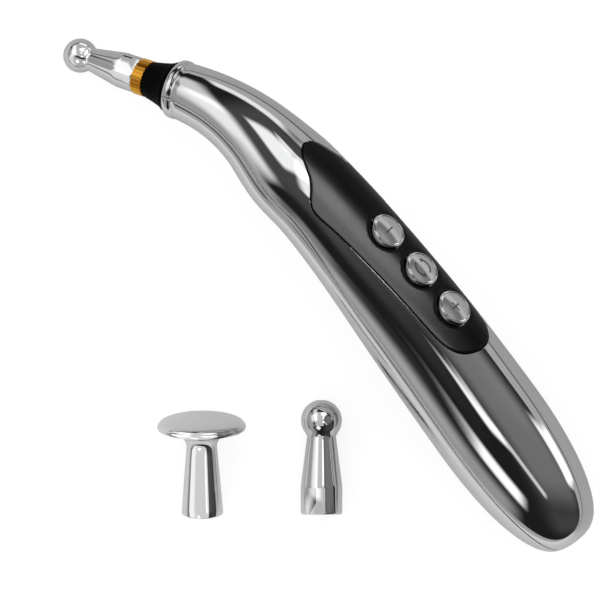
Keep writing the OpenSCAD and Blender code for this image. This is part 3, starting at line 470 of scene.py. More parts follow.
# Half of the panel's outline between its two ends, which lie on the middle line
PANEL_HALF = (
    (60.45, 3.2), (62.2, 6.6), (65.2, 8.7), (69.5, 9.75), (76, 10.2), (89, 10.6), (103, 11.2), (112, 11.7),
    (118, 12.1), (121.3, 11.95), (123.7, 10.9), (126.2, 8.9), (128.8, 7.1), (131.6, 5.7), (134.4, 4.1),
    (136.2, 2.2),
)
PANEL_ENDS = (60, 136.9)
PANEL_POINTS = 288
# Gap round the panel, rounding of its edge, and from where to where its middle closes
PANEL_GAP, PANEL_EDGE, PANEL_SPINE = 0.15, 0.5, (69.5, 127)
# The same of the recess's cutter, with how far it goes in and stands out
RECESS_DEPTH, RECESS_OUT, RECESS_EDGE, RECESS_MOUTH, RECESS_SPINE = 3.0, 3.0, 0.7, 0.6, (68, 128)


def panel_outline():
    side = [Vector(p) for p in PANEL_HALF]
    other = [Vector((x, -y)) for x, y in reversed(PANEL_HALF)]
    back, front = (Vector((x, 0)) for x in PANEL_ENDS)
    return smooth_outline([back, *side, front, *other], PANEL_POINTS)


def offset(outline, grow):
    """An outline moved outwards, square to itself"""
    n = len(outline)
    out = []
    for i, p in enumerate(outline):
        run = (outline[(i + 1) % n] - outline[i - 1]).normalized()
        out.append(p + Vector((-run.y, run.x)) * grow)
    return out


def on_body(p, depth):
    """A place under the body's surface, or over it where depth is negative"""
    return Vector((p[0], p[1], skin_z(p[0], p[1]) - depth))


def recess(outline, rows, name, spine=None):
    """A cutter along an outline on the body, with rows of (grow, depth) from its bottom to its top

    Its two ends close on a spine from one x to another, or else on the outline's middle.
    """
    loops = [offset(outline, grow) for grow, _ in rows]
    middle = sum((Vector(p) for p in outline), Vector((0, 0))) / len(outline)
    low, high = spine or (middle.x, middle.x)

    def place(i, row):
        k = i % len(outline)
        if row in (0, len(rows) + 1):
            x = min(max(outline[k].x, low), high)
            return on_body((x, middle.y), rows[0 if row == 0 else -1][1])
        return on_body(loops[row - 1][k], rows[row - 1][1])

    return finish_mesh(sheet(len(outline), len(rows) + 1, place), name, to_set(), 80)


def panel_recess():
    """The cutter of the panel's recess, which leaves a rounded rim"""
    turns = [math.radians(a) for a in (0, 20, 40, 58)]
    rim = [(PANEL_GAP + RECESS_EDGE * (1 - math.cos(t)), RECESS_EDGE * (1 - math.sin(t))) for t in turns]
    rows = [(PANEL_GAP, RECESS_DEPTH), *rim, (RECESS_MOUTH, -RECESS_OUT)]
    return recess(panel_outline(), rows, "panel_cutter", RECESS_SPINE)


def rod(name, radius, depth, place, segments, sharp):
    """A round cutter, placed in the pen's own axes"""
    bm = bmesh.new()
    bmesh.ops.create_cone(bm, cap_ends=True, segments=segments, radius1=radius, radius2=radius, depth=depth,
                          matrix=place)
    return finish_mesh(bm, name, to_set(), sharp)


SCREW_X = (67.2, 133.0)
SCREW_HOLE, SCREW_SEAT, SCREW_UNDER = 2.1, 7, -30


def screw_hole(x):
    """A cutter from under the pen to the seat of a shell screw's head"""
    seat = seam_lift(x) + mid_z(x) - SCREW_SEAT
    place = Matrix.Translation((x, 0, (SCREW_UNDER + seat) / 2))
    return rod("screw_cutter", SCREW_HOLE, seat - SCREW_UNDER, place, 48, 30)


# The cover's front end, its top under the cell, half width, gap and the slant of its sides, then its step
# to the higher tongue in front, and how far its block goes behind and under the pen
COVER_X, COVER_Z, COVER_HALF, COVER_GAP, COVER_SLANT = 63.4, -5.0, 8.1, 0.25, 0.25
COVER_STEP, COVER_TONGUE_Z, COVER_BEYOND, COVER_UNDER = 30, -2.05, -20, 5


def cover_block(gap, name):
    """The dovetail that the battery cover fills in the lower shell, lower behind its step"""
    low = mid_z(BUTT) - half_depth(BUTT) - COVER_UNDER
    half_low = COVER_HALF + gap - COVER_SLANT * COVER_UNDER
    parts = []
    for start, end, top in ((COVER_BEYOND, COVER_STEP, COVER_Z + gap),
                            (COVER_STEP - 0.01, COVER_X + gap, COVER_TONGUE_Z + gap)):
        bm = bmesh.new()
        bmesh.ops.create_cube(bm, size=1.0)
        for v in bm.verts:
            x, z = (end if v.co.x > 0 else start), (top if v.co.z > 0 else low)
            y = half_low + COVER_SLANT * (z - low)
            v.co = (x, y if v.co.y > 0 else -y, z)
        parts.append(finish_mesh(bm, f"{name}_{len(parts)}", to_set(), 30))
    return cut(parts[0], [parts[1]], "UNION", 30)


GROOVES, GROOVE_FIRST, GROOVE_PITCH, GROOVE_R = 4, 6, 2.4, 0.5


def finger_groove(i):
    """A cutter for one of the grooves across the battery cover"""
    x = COVER_X - GROOVE_FIRST - GROOVE_PITCH * i
    across = Matrix.Translation((x, 0, 2 * mid_z(x) - skin_z(x, 0))) @ Matrix.Rotation(math.pi / 2, 4, "X")
    return rod("groove_cutter", GROOVE_R, COVER_HALF * 1.4, across, 24, 60)


def upper_shell():
    shell = finish_mesh(shell_mesh(True), "shell_upper", to_set())
    cut(shell, [panel_recess()])
    dress(shell, chrome(), "pen", "chromed_shell", "upper_shell")


def lower_shell_and_cover():
    """The lower shell, and the battery cover that is cut from a copy of it"""
    shell = finish_mesh(shell_mesh(False), "shell_lower", to_set())
    cover = shell.copy()
    cover.data = shell.data.copy()
    cover.name = "cover_battery"
    bpy.context.scene.collection.objects.link(cover)
    cut(shell, [cover_block(COVER_GAP, "cover_cutter"), *(screw_hole(x) for x in SCREW_X)])
    cut(cover, [cover_block(0, "cover_block")], "INTERSECT")
    cut(cover, [finger_groove(i) for i in range(GROOVES)])
    dress(shell, chrome(), "pen", "chromed_shell", "lower_shell")
    dress(cover, chrome(), "battery_cover", "chromed_shell", "battery_cover")


class PEN_OT_shells(bpy.types.Operator):
    """Makes the two chromed shells and the battery cover"""
    bl_idname = "pen.shells"
    bl_label = "Shells"

    def execute(self, context):
        upper_shell()
        lower_shell_and_cover()
        return {"FINISHED"}


# The panel and its keys
KEY_TOPS = (28.0439, 27.9036, 27.2527)
KEY_NAMES = ("minus", "mode", "plus")
# Height of the dome, width of the rim, depth of the flange's underside, and its reach and thickness
KEY_CROWN, KEY_RIM, KEY_UNDER, KEY_FLANGE = 0.3, 0.45, 3.35, 0.9
STEM_R, STEM_LOW = 1.75, 22.35
AXIS = 0.0001
TURNS, TIP_TURNS = 96, 128
WELL_GAP = 0.25
# Rows of the well's cutter: how far it grows, and how deep
WELL_DISH = (
    (0, 3.0), (0, 0.62), (0.12, 0.5), (0.35, 0.34), (0.7, 0.2), (1.15, 0.07), (1.45, 0.0), (1.8, -0.5),
)


def key_x(i):
    s = sizes()
    return (s.key_middle + (1 - i) * s.key_pitch) / MM


def key_well(i):
    """The cutter of the dished hole round a key"""
    turns = [2 * math.pi * k / 72 for k in range(72)]
    around = [Vector((key_x(i) + math.cos(t), math.sin(t))) for t in reversed(turns)]
    half = sizes().key_width / MM / 2 + WELL_GAP
    return recess(around, [(half - 1 + grow, deep) for grow, deep in WELL_DISH], "key_well")


def panel_mesh(outline):
    """A plate that follows the body, closed on its spine above and below, with a rounded upper edge"""
    depth = sizes().panel_depth / MM
    turns = [math.radians(a) for a in (0, 22, 45, 68, 90)]
    edge = [(-PANEL_EDGE * (1 - math.cos(t)), PANEL_EDGE * (1 - math.sin(t))) for t in turns]
    near = [(0, depth), (0, (depth + PANEL_EDGE) / 2), *edge, (-0.65, 0), (-0.95, 0)]
    inward = 12
    loops = [offset(outline, grow) for grow, _ in near]
    first, last = PANEL_SPINE
    spine = [Vector((min(max(p.x, first), last), 0)) for p in outline]
    rows = len(near) + 2 * inward

    def place(i, row):
        k = i % PANEL_POINTS
        if row < inward:
            return on_body(spine[k].lerp(loops[0][k], row / inward), depth)
        if row < inward + len(near):
            return on_body(loops[row - inward][k], near[row - inward][1])
        share = (row - inward - len(near) + 1) / inward
        return on_body(loops[-1][k].lerp(spine[k], min(share, 1)), 0)

    return sheet(PANEL_POINTS, rows - 1, place)


class PEN_OT_panel(bpy.types.Operator):
    """Makes the gloss black key panel"""
    bl_idname = "pen.panel"
    bl_label = "Key panel"

    def execute(self, context):
        panel = finish_mesh(panel_mesh(panel_outline()), "panel_black", to_set())
        cut(panel, [key_well(i) for i in range(len(KEY_NAMES))])
        dress(panel, black_gloss(), "pen", "black_panel", "control_panel")
        return {"FINISHED"}


def key_mesh(i):
    """A key: a shallow dome inside a bright rim, its flange and its stem"""
    r, top = sizes().key_width / MM / 2, KEY_TOPS[i]
    under, shoulder = top - KEY_UNDER, top - KEY_CROWN
    outline = [(AXIS, STEM_LOW), (STEM_R, STEM_LOW), (STEM_R, under), (r + KEY_FLANGE, under),
               (r + KEY_FLANGE, under + KEY_FLANGE), (r, under + KEY_FLANGE)]
    outline += arc((r - KEY_RIM / 2, shoulder - KEY_RIM / 2), KEY_RIM / 2, 0, 165, 9)
    outline.append((r - KEY_RIM - 0.04, shoulder - 0.14))
    reach, rise = r - KEY_RIM - 0.12, KEY_CROWN + 0.08
    ball = (reach ** 2 + rise ** 2) / (2 * rise)
    for k in range(12):
        x = reach - reach * k / 12
        outline.append((x, top - ball + math.sqrt(ball ** 2 - x ** 2)))
    outline.append((AXIS, top))
    return lathe(outline, TURNS)


def sign_material():
    """The darker floor of an engraved sign"""
    return shared("sign_dark", (0.16, 0.16, 0.165), (200.0, 0.4, 0.1, 0.2), metallic=1.0)


def engraver(bm, i):
    """A cutter over a key, in the key's own axes, which leaves a dark floor"""
    obj = finish_mesh(bm, "sign_cutter", to_set() @ Matrix.Translation((key_x(i), 0, KEY_TOPS[i])), 30)
    obj.data.materials.append(sign_material())
    return obj


BAR_LONG, BAR_WIDE, BAR_DEEP, CROSSBAR_DEEP = 3.3, 0.44, 0.18, 0.2
ARROW_R, ARROW_HALF, ARROW_DEEP, ARROW_REACH = 2.5, 0.26, 0.2, math.radians(118)
HEAD_R, HEAD_HIGH, HEAD_AHEAD = 0.85, 0.42, 0.3


def bar(i, long_x, long_y, deep):
    """The cutter of one stroke of a sign"""
    bm = bmesh.new()
    bmesh.ops.create_cube(bm, size=1.0, matrix=Matrix.Diagonal((long_x, long_y, 2 * deep, 1)))
    return engraver(bm, i)


def turning_arrow(i, start):
    """The two cutters of a third of a ring that ends in an arrow's head"""
    inner, outer = ARROW_R - ARROW_HALF, ARROW_R + ARROW_HALF
    shaft = bmesh.new()
    corners = ((inner, -ARROW_DEEP), (outer, -ARROW_DEEP), (outer, ARROW_DEEP), (inner, ARROW_DEEP))
    face = shaft.faces.new([shaft.verts.new((r, 0, z)) for r, z in corners])
    bmesh.ops.spin(shaft, geom=[face, *face.edges, *face.verts], cent=(0, 0, 0), axis=(0, 0, 1),
                   angle=ARROW_REACH, steps=14)
    bmesh.ops.recalc_face_normals(shaft, faces=shaft.faces)
    shaft.transform(Matrix.Rotation(start, 4, "Z"))
    head = bmesh.new()
    place = Matrix.Rotation(start + ARROW_REACH, 4, "Z") @ Matrix.Translation((ARROW_R, HEAD_AHEAD, 0))
    bmesh.ops.create_cone(head, cap_ends=True, segments=3, radius1=HEAD_R, radius2=HEAD_R, depth=HEAD_HIGH,
                          matrix=place @ Matrix.Rotation(math.pi / 2, 4, "Z"))
    return [engraver(shaft, i), engraver(head, i)]


def sign_cutters(i, name):
    """A minus, two turning arrows or a plus, whose second bar is deeper, so that no two floors meet"""
    if name == "mode":
        return turning_arrow(i, 0.3) + turning_arrow(i, 0.3 + math.pi)
    stroke = [bar(i, BAR_WIDE, BAR_LONG, BAR_DEEP)]
    return stroke + [bar(i, BAR_LONG, BAR_WIDE, CROSSBAR_DEEP)] if name == "plus" else stroke


class PEN_OT_keys(bpy.types.Operator):
    """Makes the three keys with their engraved signs"""
    bl_idname = "pen.keys"
    bl_label = "Keys"

    def execute(self, context):
        for i, name in enumerate(KEY_NAMES):
            key = finish_mesh(key_mesh(i), f"key_{name}", to_set() @ Matrix.Translation((key_x(i), 0, 0)))
            dress(key, key_metal(), f"{name}_key", "key_metal", f"{name}_key")
            key.data.materials.append(sign_material())
            cut(key, sign_cutters(i, name))
        return {"FINISHED"}


# Neck, ring and tips
CONE_L, RING_L = 9.3, 3.4
TIP_AT = CONE_L + RING_L
BORE, BORE_L, LIGHT_HOLE = 2.55, 8.6, 1
FLAT_DEEP, FLAT_BLOCK, FLAT_UNDER = 0.8, (12, 16), 4
SPARE_BASE, SPARE_TURN = 12.1, math.radians(-42)
SPARE_BALL_AT, SPARE_DISC_AT = (54.4, 49.6), (77.8, 75.2)


def neck_outline():
    """Half of the neck: what the shells clamp, the collar and the cone"""
    clamped = [(2.5, -10), (5.7, -10), (6, -9.7), (6, -8.4), (5, -8.4), (5, -6), (6, -6), (6, -1.2)]
    collar = [(7.5, -1.2), (7.5, 1.3)] + arc((6.9, 1.3), 0.6, 0, 60, 5)
    cone = [(6.9, 2.55), (6.55, 3.4), (5.9, 6.0), (5.45, 8.2), (5.2, 9.0)]
    return clamped + collar + cone + arc((4.9, 9.0), 0.3, 0, 90, 4) + [(2.5, CONE_L)]


class PEN_OT_neck(bpy.types.Operator):
    """Makes the black neck"""
    bl_idname = "pen.neck"
    bl_label = "Neck"

    def execute(self, context):
        neck = finish_mesh(lathe(neck_outline(), TURNS), "neck_black", to_set() @ at_nose())
        dress(neck, neck_black(), "pen", "black_neck", "neck_cone")
        return {"FINISHED"}


def tip_outline(ball, at, neck, base, base_l):
    """Half of a ball tip: bored base, cone, ball and the hole through it"""
    r, foot, meet, soft, chamfer = ball / 2, base / 2, neck / 2 + 0.12, 0.8, 0.6
    slope = (base - neck) / 2 / (at - 0.42 * ball - base_l)
    top = at - r * math.cos(math.asin(meet / r))
    span = top - 0.7 - base_l - soft
    waist = math.degrees(math.asin(min((meet + 0.35) / r, 0.99)))
    mouth = math.degrees(math.asin((LIGHT_HOLE + 0.15) / r))
    out = [(BORE, 0), (foot - chamfer, 0)] + arc((foot - chamfer, chamfer), chamfer, -80, 0, 5)
    out += [(foot, base_l * 0.5), (foot, base_l - soft), (foot - 0.02, base_l)]
    out += [(mix(foot - slope * soft, meet - 0.1, k / 12), base_l + soft + span * k / 12) for k in range(13)]
    out += [(meet - 0.04, top - 0.35), (meet + 0.14, top - 0.08)]
    out += arc((0, at), r, waist - 90, 90 - mouth, 40)
    hole_top = at + math.sqrt(r * r - LIGHT_HOLE ** 2) - 0.2
    return out + [(LIGHT_HOLE, hole_top), (LIGHT_HOLE, BORE_L), (BORE, BORE_L)]


def disc_outline():
    """Half of the disc tip: bored stem, flare, the disc's rim and its slight crown"""
    foot, chamfer, stem, stem_top = 6.05, 0.4, 4.4, 20.2
    flare, flare_top = 12.4, 25.6
    crown, crown_low, crown_high = 12.35, 27.05, 2.15
    turns = [math.radians(a) for a in range(6, 85, 6)]
    out = [(BORE, 0), (foot - chamfer, 0)] + arc((foot - chamfer, chamfer), chamfer, -80, 0, 4)
    out += [(mix(foot, stem, k / 10), mix(chamfer, stem_top, k / 10)) for k in range(1, 11)]
    out += [(mix(flare, stem, math.cos(t)), mix(stem_top, flare_top, math.sin(t))) for t in turns]
    out += [(flare, flare_top), (12.75, 25.75), (12.88, 26.1), (12.86, 26.45), (12.7, 26.8)]
    out.append((crown, crown_low))
    out += [(crown * math.cos(t), crown_low + crown_high * math.sin(t)) for t in turns]
    return out + [(AXIS, crown_low + crown_high), (AXIS, BORE_L), (BORE, BORE_L)]


def flats(base, high, turn, place):
    """Two cutters for the flats of a wrench"""
    made = []
    for side in (0, math.pi):
        bm = bmesh.new()
        bmesh.ops.create_cube(bm, size=1.0)
        middle = Matrix.Translation((base / 2 - FLAT_DEEP + FLAT_BLOCK[0] / 2, 0, high / 2 - FLAT_UNDER / 2))
        grown = Matrix.Diagonal((*FLAT_BLOCK, high + FLAT_UNDER, 1))
        bm.transform(Matrix.Rotation(turn + side, 4, "Z") @ middle @ grown)
        made.append(finish_mesh(bm, "flat_cutter", place, 60))
    return made


def spare_place(place, wide, at):
    """Where a spare tip lies, on the edge of its base and on its widest part"""
    lean = math.atan((wide - SPARE_BASE) / 2 / at)
    height = SPARE_BASE / 2 * math.cos(lean)
    lie = Matrix.Translation((place[0] - CENTRE[0], place[1] - CENTRE[1], height))
    return (Matrix.Diagonal((MM, MM, MM, 1)) @ lie @ Matrix.Rotation(SPARE_TURN, 4, "Z")
            @ Matrix.Rotation(math.pi / 2 - lean, 4, "Y"))


def ball_tip(name, place, body, node, ball, at, neck, base, base_l, flat_l, flat_turn):
    tip = finish_mesh(lathe(tip_outline(ball, at, neck, base, base_l), TIP_TURNS), name, place)
    cut(tip, flats(base, flat_l, math.radians(flat_turn), place))
    dress(tip, chrome(), body, "tip_metal", node)


def disc_tip():
    place = spare_place(SPARE_DISC_AT, 25.8, 26.3)
    tip = finish_mesh(lathe(disc_outline(), TIP_TURNS), "tip_disc_spare", place)
    dress(tip, chrome(), "pen", "tip_metal", "spare_disc_tip")


class PEN_OT_tips(bpy.types.Operator):
    """Makes the fitted ball tip and the two spare tips"""
    bl_idname = "pen.tips"
    bl_label = "Tips"

    def execute(self, context):
        ball_tip("tip_ball", to_set() @ at_nose(TIP_AT), "ball_tip", "ball_tip",
                 ball=10, at=20.9, neck=6.8, base=10.4, base_l=6.2, flat_l=5.8, flat_turn=150)
        ball_tip("tip_ball_spare", spare_place(SPARE_BALL_AT, 11.9, 27.4), "pen", "spare_ball_tip",
                 ball=11.9, at=27.4, neck=8.4, base=SPARE_BASE, base_l=8.1, flat_l=7.7, flat_turn=160)
        disc_tip()
        return {"FINISHED"}


# What is inside
def plastic(name, base, rough, ripple=0.2):
    return marked(name, base, (180.0, rough, 0.12, ripple))


def metal(name, base, rough):
    return marked(name, base, (250.0, rough, 0.12, 0.1), metallic=1.0)


def board_finish():
    """Solder mask over copper tracks"""
    made, shader = material("board_mask", (0.01, 0.12, 0.04), roughness=0.35)
    tree = made.node_tree
    where = chain(tree, "TexCoord").outputs["Object"]
    tracks = chain(tree, "TexVoronoi", {"Vector": where, "Scale": 420.0, "Randomness": 0.35},
                   distance="MANHATTAN", feature="DISTANCE_TO_EDGE")
    line = chain(tree, "MapRange", {
        "Value": tracks.outputs["Distance"], "From Min": 0.08, "From Max": 0.12})
    tint = chain(tree, "Mix", {
        "Factor": line.outputs[0], "A": (0.02, 0.22, 0.08, 1), "B": (0.008, 0.10, 0.035, 1)},
        data_type="RGBA")
    bump = chain(tree, "Bump", {
        "Height": line.outputs[0], "Strength": 0.3, "Distance": 0.00004}, invert=True)
    tree.links.new(tint.outputs["Result"], shader.inputs["Base Color"])
    tree.links.new(bump.outputs[0], shader.inputs["Normal"])
    return made


def coil_finish():
    """Enamelled copper wire, turn beside turn"""
    made, shader = material("coil_wire", (0.72, 0.30, 0.12), metallic=1.0, roughness=0.28)
    tree = made.node_tree
    where = chain(tree, "TexCoord").outputs["Object"]
    turns = chain(tree, "TexWave", {"Vector": where, "Scale": 900.0, "Distortion": 1.5},
                  bands_direction="DIAGONAL")
    bump = chain(tree, "Bump", {
        "Height": turns.outputs["Fac"], "Strength": 0.6, "Distance": 0.0001})
    tree.links.new(bump.outputs[0], shader.inputs["Normal"])
    return made


def cell_finish():
    """A printed cell: a dark sleeve with a copper coloured end towards its cap"""
    sleeve, copper, end_length = (0.02, 0.02, 0.022), (0.62, 0.27, 0.07, 1), 0.016
    made, shader = material("cell_sleeve", sleeve, roughness=0.25, metallic=0.6)
    tree = made.node_tree
    where = chain(tree, "SeparateXYZ", {0: chain(tree, "TexCoord").outputs["Object"]})
    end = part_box("battery")[1][0] - end_length
    band = chain(tree, "Math", {0: where.outputs["X"], 1: end}, operation="GREATER_THAN")
    tint = chain(tree, "Mix", {"Factor": band.outputs[0], "A": (*sleeve, 1), "B": copper},
                 data_type="RGBA")
    tree.links.new(tint.outputs["Result"], shader.inputs["Base Color"])
    return made


def lamp_finish():
    """A clear red lens"""
    return material("lamp_lens", (0.7, 0.02, 0.01), roughness=0.12, ior=1.5, transmission_weight=0.6)[0]


class PEN_OT_inside(bpy.types.Operator):
    """Gives the pieces inside, the ring and the stud their finishes"""
    bl_idname = "pen.inside"
    bl_label = "Inside"

    def execute(self, context):
        black = plastic("part_black", (0.018, 0.018, 0.02), 0.45)
        grey = plastic("plunger_grey", (0.12, 0.12, 0.125), 0.4)
        finishes = (
            (metal("ring_brass", colours().brass, 0.2), ("knurled_ring",)),
            (metal("stud_brass", (0.80, 0.55, 0.20), 0.25), ("electrode_stud", "stud_nut")),
            (metal("part_steel", (0.55, 0.55, 0.57), 0.3),
             ("shell_screws", "board_screws", "negative_spring", "positive_plate")),
            (metal("contact_gold", (0.85, 0.60, 0.22), 0.25), ("skin_contact",)),
            (black, ("control_chip", "buzzer", *(f"{name}_switch" for name in KEY_NAMES))),
            (grey, tuple(f"{name}_plunger" for name in KEY_NAMES)),
            (plastic("tray_black", (0.03, 0.03, 0.033), 0.55, 0.4), ("battery_tray",)),
            (board_finish(), ("circuit_board",)),
            (coil_finish(), ("boost_coil",)),
            (plastic("sleeve_blue", (0.02, 0.04, 0.16), 0.25), ("capacitor",)),
            (cell_finish(), ("battery",)),
            (plastic("wire_black", (0.015, 0.015, 0.016), 0.5), ("negative_lead",)),
            (plastic("wire_red", (0.50, 0.02, 0.02), 0.45), ("positive_lead", "lamp_leads")),
            (plastic("wire_yellow", (0.70, 0.50, 0.05), 0.45), ("electrode_lead",)),
            (lamp_finish(), ("tip_lamp",)),
        )
        for finish, nodes in finishes:
            for node in nodes:
                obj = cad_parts[node]
                obj.data.materials.clear()
                obj.data.materials.append(finish)
        return {"FINISHED"}


# The studio
ROOM, SENSOR = 0.018, 36
# The plain light grows towards the top left of the picture
PLAIN_SIDE, PLAIN_REACH, PLAIN_LEVELS = 0.6, 1.5, (0.7, 1.3)


def math_node(tree, operation, first, second=0.0):
    return chain(tree, "Math", {0: first, 1: second}, operation=operation).outputs[0]


def dot_node(tree, first, second):
    made = chain(tree, "VectorMath", {0: first, 1: second}, operation="DOT_PRODUCT")
    return made.outputs["Value"]


def soft_light():
    """Shared effect: how much of a soft rectangular light lies in a direction, its half sizes as sines"""
    tree, into, out = node_group(
        "soft_light",
        [("Direction", VECTOR, None), ("Towards", VECTOR, None), ("Up", VECTOR, None), ("Side", VECTOR, None),
         ("Half height", FLOAT, 0.2), ("Half width", FLOAT, 0.2), ("Edge", FLOAT, 0.05),
         ("Power", FLOAT, 1.0)],
        [("Light", FLOAT)])
    where, edge = into.outputs["Direction"], into.outputs["Edge"]
    facing = math_node(tree, "GREATER_THAN", dot_node(tree, where, into.outputs["Towards"]))
    light = math_node(tree, "MULTIPLY", facing, into.outputs["Power"])
    for axis, half in (("Up", "Half height"), ("Side", "Half width")):
        off = math_node(tree, "ABSOLUTE", dot_node(tree, where, into.outputs[axis]))
        last = math_node(tree, "ADD", into.outputs[half], edge)
        first = math_node(tree, "SUBTRACT", into.outputs[half], edge)
        fade = chain(tree, "MapRange", {
            "Value": off, "From Min": first, "From Max": last, "To Min": 1.0, "To Max": 0.0},
            interpolation_type="SMOOTHSTEP")
        light = math_node(tree, "MULTIPLY", light, fade.outputs[0])
    tree.links.new(light, out.inputs["Light"])
    return tree


# Soft lights by the spot of a mirror ball where the camera sees them, from its middle towards the right
# and the top of the picture, with their turn, half height, half width, edge and brightness
SOFT_LIGHTS = (
    (0.67, 0.17, 0.0, 0.16, 0.13, 0.04, 1.5),
    (0.095, -0.085, -1.55, 0.09, 0.05, 0.04, 1.6),
    (0.19, -0.125, -2.36, 0.24, 0.05, 0.03, 0.8),
    (-0.15, -0.365, -0.6, 0.15, 0.17, 0.07, 1.6),
    (-0.32, 0.40, 0.34, 0.32, 0.18, 0.10, 0.9),
    (-0.36, 0.12, 0.32, 0.30, 0.28, 0.15, 1.25),
    (0.11, 0.32, 0.1, 0.16, 0.23, 0.06, 1.3),
    (0.17, 0.26, -0.57, 0.41, 0.06, 0.03, 1.2),
    (0.45, 0.40, 0.0, 0.14, 0.12, 0.06, 0.2),
    (0.19, 0.663, -1.85, 0.33, 0.14, 0.05, 1.2),
    (0.10, 0.29, 0.5, 0.44, 0.69, 0.14, 0.07),
    (-0.60, 0.00, 0.9, 0.60, 0.30, 0.11, 0.45),
    (-0.60, -0.62, -0.7, 0.80, 0.22, 0.11, 0.42),
    (0.42, 0.07, 0.6, 0.34, 0.50, 0.21, 0.22),
    (0.45, -0.35, 0.6, 0.30, 0.50, 0.26, 0.06),
)


def picture_axes():
    """The picture's right and top and the way back to the camera, in the world"""
    turn, pitch = studio().turn, sizes().pitch
    back = Vector((-math.sin(pitch), 0, math.cos(pitch)))
    top = Vector((math.sin(turn), -math.cos(turn), 0))
    top = (top - top.dot(back) * back).normalized()
    return top.cross(back), top, back


def mirrored_way(across, up, turn):
    """Where a spot of a mirror ball looks, and the up direction of a light there, turned in the picture"""
    right, top, back = picture_axes()
    facing = across * right + up * top + math.sqrt(1 - across ** 2 - up ** 2) * back
    towards = 2 * facing.dot(back) * facing - back
    rise = math.cos(turn) * top - math.sin(turn) * right
    return towards, (rise - rise.dot(towards) * towards).normalized()


def make_camera():
    s, (right, top, back) = studio(), picture_axes()
    camera = bpy.data.objects.new("camera", bpy.data.cameras.new("camera"))
    bpy.context.scene.collection.objects.link(camera)
    camera.matrix_world = Matrix((right, top, back)).transposed().to_4x4()
    camera.location = Vector(s.look) + back * s.distance
    camera.data.sensor_width = SENSOR
    camera.data.lens = SENSOR * s.distance / s.field
    camera.data.clip_start, camera.data.clip_end = 0.05, 20
    bpy.context.scene.camera = camera


def seen_straight(tree, path):
    """1 for rays from the camera, also through something clear, or else 0"""
    return math_node(tree, "MAXIMUM", path.outputs["Is Camera Ray"], path.outputs["Is Transmission Ray"])


def mirrored_room(tree, where):
    """The brightness of the dark room with its soft lights in a direction"""
    room, group = ROOM, soft_light()
    for across, up, turn, half_height, half_width, edge, power in SOFT_LIGHTS:
        towards, rise = mirrored_way(across, up, turn)
        light = chain(tree, "Group", node_tree=group)
        tree.links.new(where, light.inputs["Direction"])
        for label, value in (
                ("Towards", towards), ("Up", rise), ("Side", towards.cross(rise)), ("Power", power),
                ("Half height", half_height), ("Half width", half_width), ("Edge", edge)):
            light.inputs[label].default_value = value
        room = math_node(tree, "ADD", light.outputs[0], room)
    return room


def make_world():
    """Plain light for every surface, and soft lights in a dark room for what shines"""
    world = bpy.data.worlds.new("studio")
    bpy.context.scene.world = world
    world.use_nodes = True
    tree = world.node_tree
    tree.nodes.clear()
    right, top, back = picture_axes()
    where = chain(tree, "TexCoord").outputs["Generated"]
    room = mirrored_room(tree, where)
    path = chain(tree, "LightPath")
    low, high = (studio().plain * level for level in PLAIN_LEVELS)
    plain = chain(tree, "MapRange", {
        "Value": dot_node(tree, where, top - PLAIN_SIDE * right + back), "From Min": -PLAIN_REACH,
        "From Max": PLAIN_REACH, "To Min": low, "To Max": high})
    kind = chain(tree, "Mix", {
        "Factor": path.outputs["Is Glossy Ray"], "A": plain.outputs[0], "B": room})
    power = math_node(tree, "MAXIMUM", kind.outputs["Result"], seen_straight(tree, path))
    sky = chain(tree, "Background", {"Strength": power})
    chain(tree, "OutputWorld", {"Surface": sky.outputs[0]})


# Painted light and shade of the table, seen only in what shines: its levels across it from the spare tips'
# side to the panel's
TABLE_SIDE, TABLE_REACH = (0.085, -1, 0), 0.25
PAINTED_TABLE_LEVELS = (
    (0.18, 0.45), (0.38, 0.85), (0.50, 0.70), (0.60, 0.50), (0.70, 0.45), (0.72, 0.45), (0.735, 0.12),
    (0.755, 0.12), (0.77, 0.50), (0.80, 0.50),
)
# A painted pool of light on the table, a brighter wedge seen only in what shines: its direction, its point
# (its sign turned), half width, soft edge, brightness and how far out it comes up
PATCH_WAY, PATCH_POINT, PATCH_HALF, PATCH_EDGE = (-0.454, -0.891), (0.05, -0.005), 0.13, 0.03
PATCH_POWER, PATCH_FROM, PATCH_TO = 1.1, 0.17, 0.21
TABLE_RADIUS, TABLE_TONE, TABLE_TONE_SEEN, TABLE_GLOW = 6, 0.8, 0.3, 0.8


def painted_light_patch(tree, where, side):
    """A painted pool of light: a bright wedge of the table beyond the panel's side, which the butt mirrors"""
    x, y = PATCH_WAY
    out = chain(tree, "VectorMath", {0: where, 1: (*PATCH_POINT, 0.0)}, operation="ADD")
    facing = chain(tree, "VectorMath", {0: out.outputs[0]}, operation="NORMALIZE")
    wedge = chain(tree, "Group", {
        "Direction": facing.outputs[0], "Towards": (x, y, 0.0), "Up": (0.0, 0.0, 1.0), "Side": (y, -x, 0.0),
        "Half height": 0.5, "Half width": PATCH_HALF, "Edge": PATCH_EDGE, "Power": PATCH_POWER},
        node_tree=bpy.data.node_groups["soft_light"])
    far = chain(tree, "MapRange", {"Value": side, "From Min": PATCH_FROM, "From Max": PATCH_TO},
                interpolation_type="SMOOTHSTEP")
    return math_node(tree, "MULTIPLY", wedge.outputs[0], far.outputs[0])


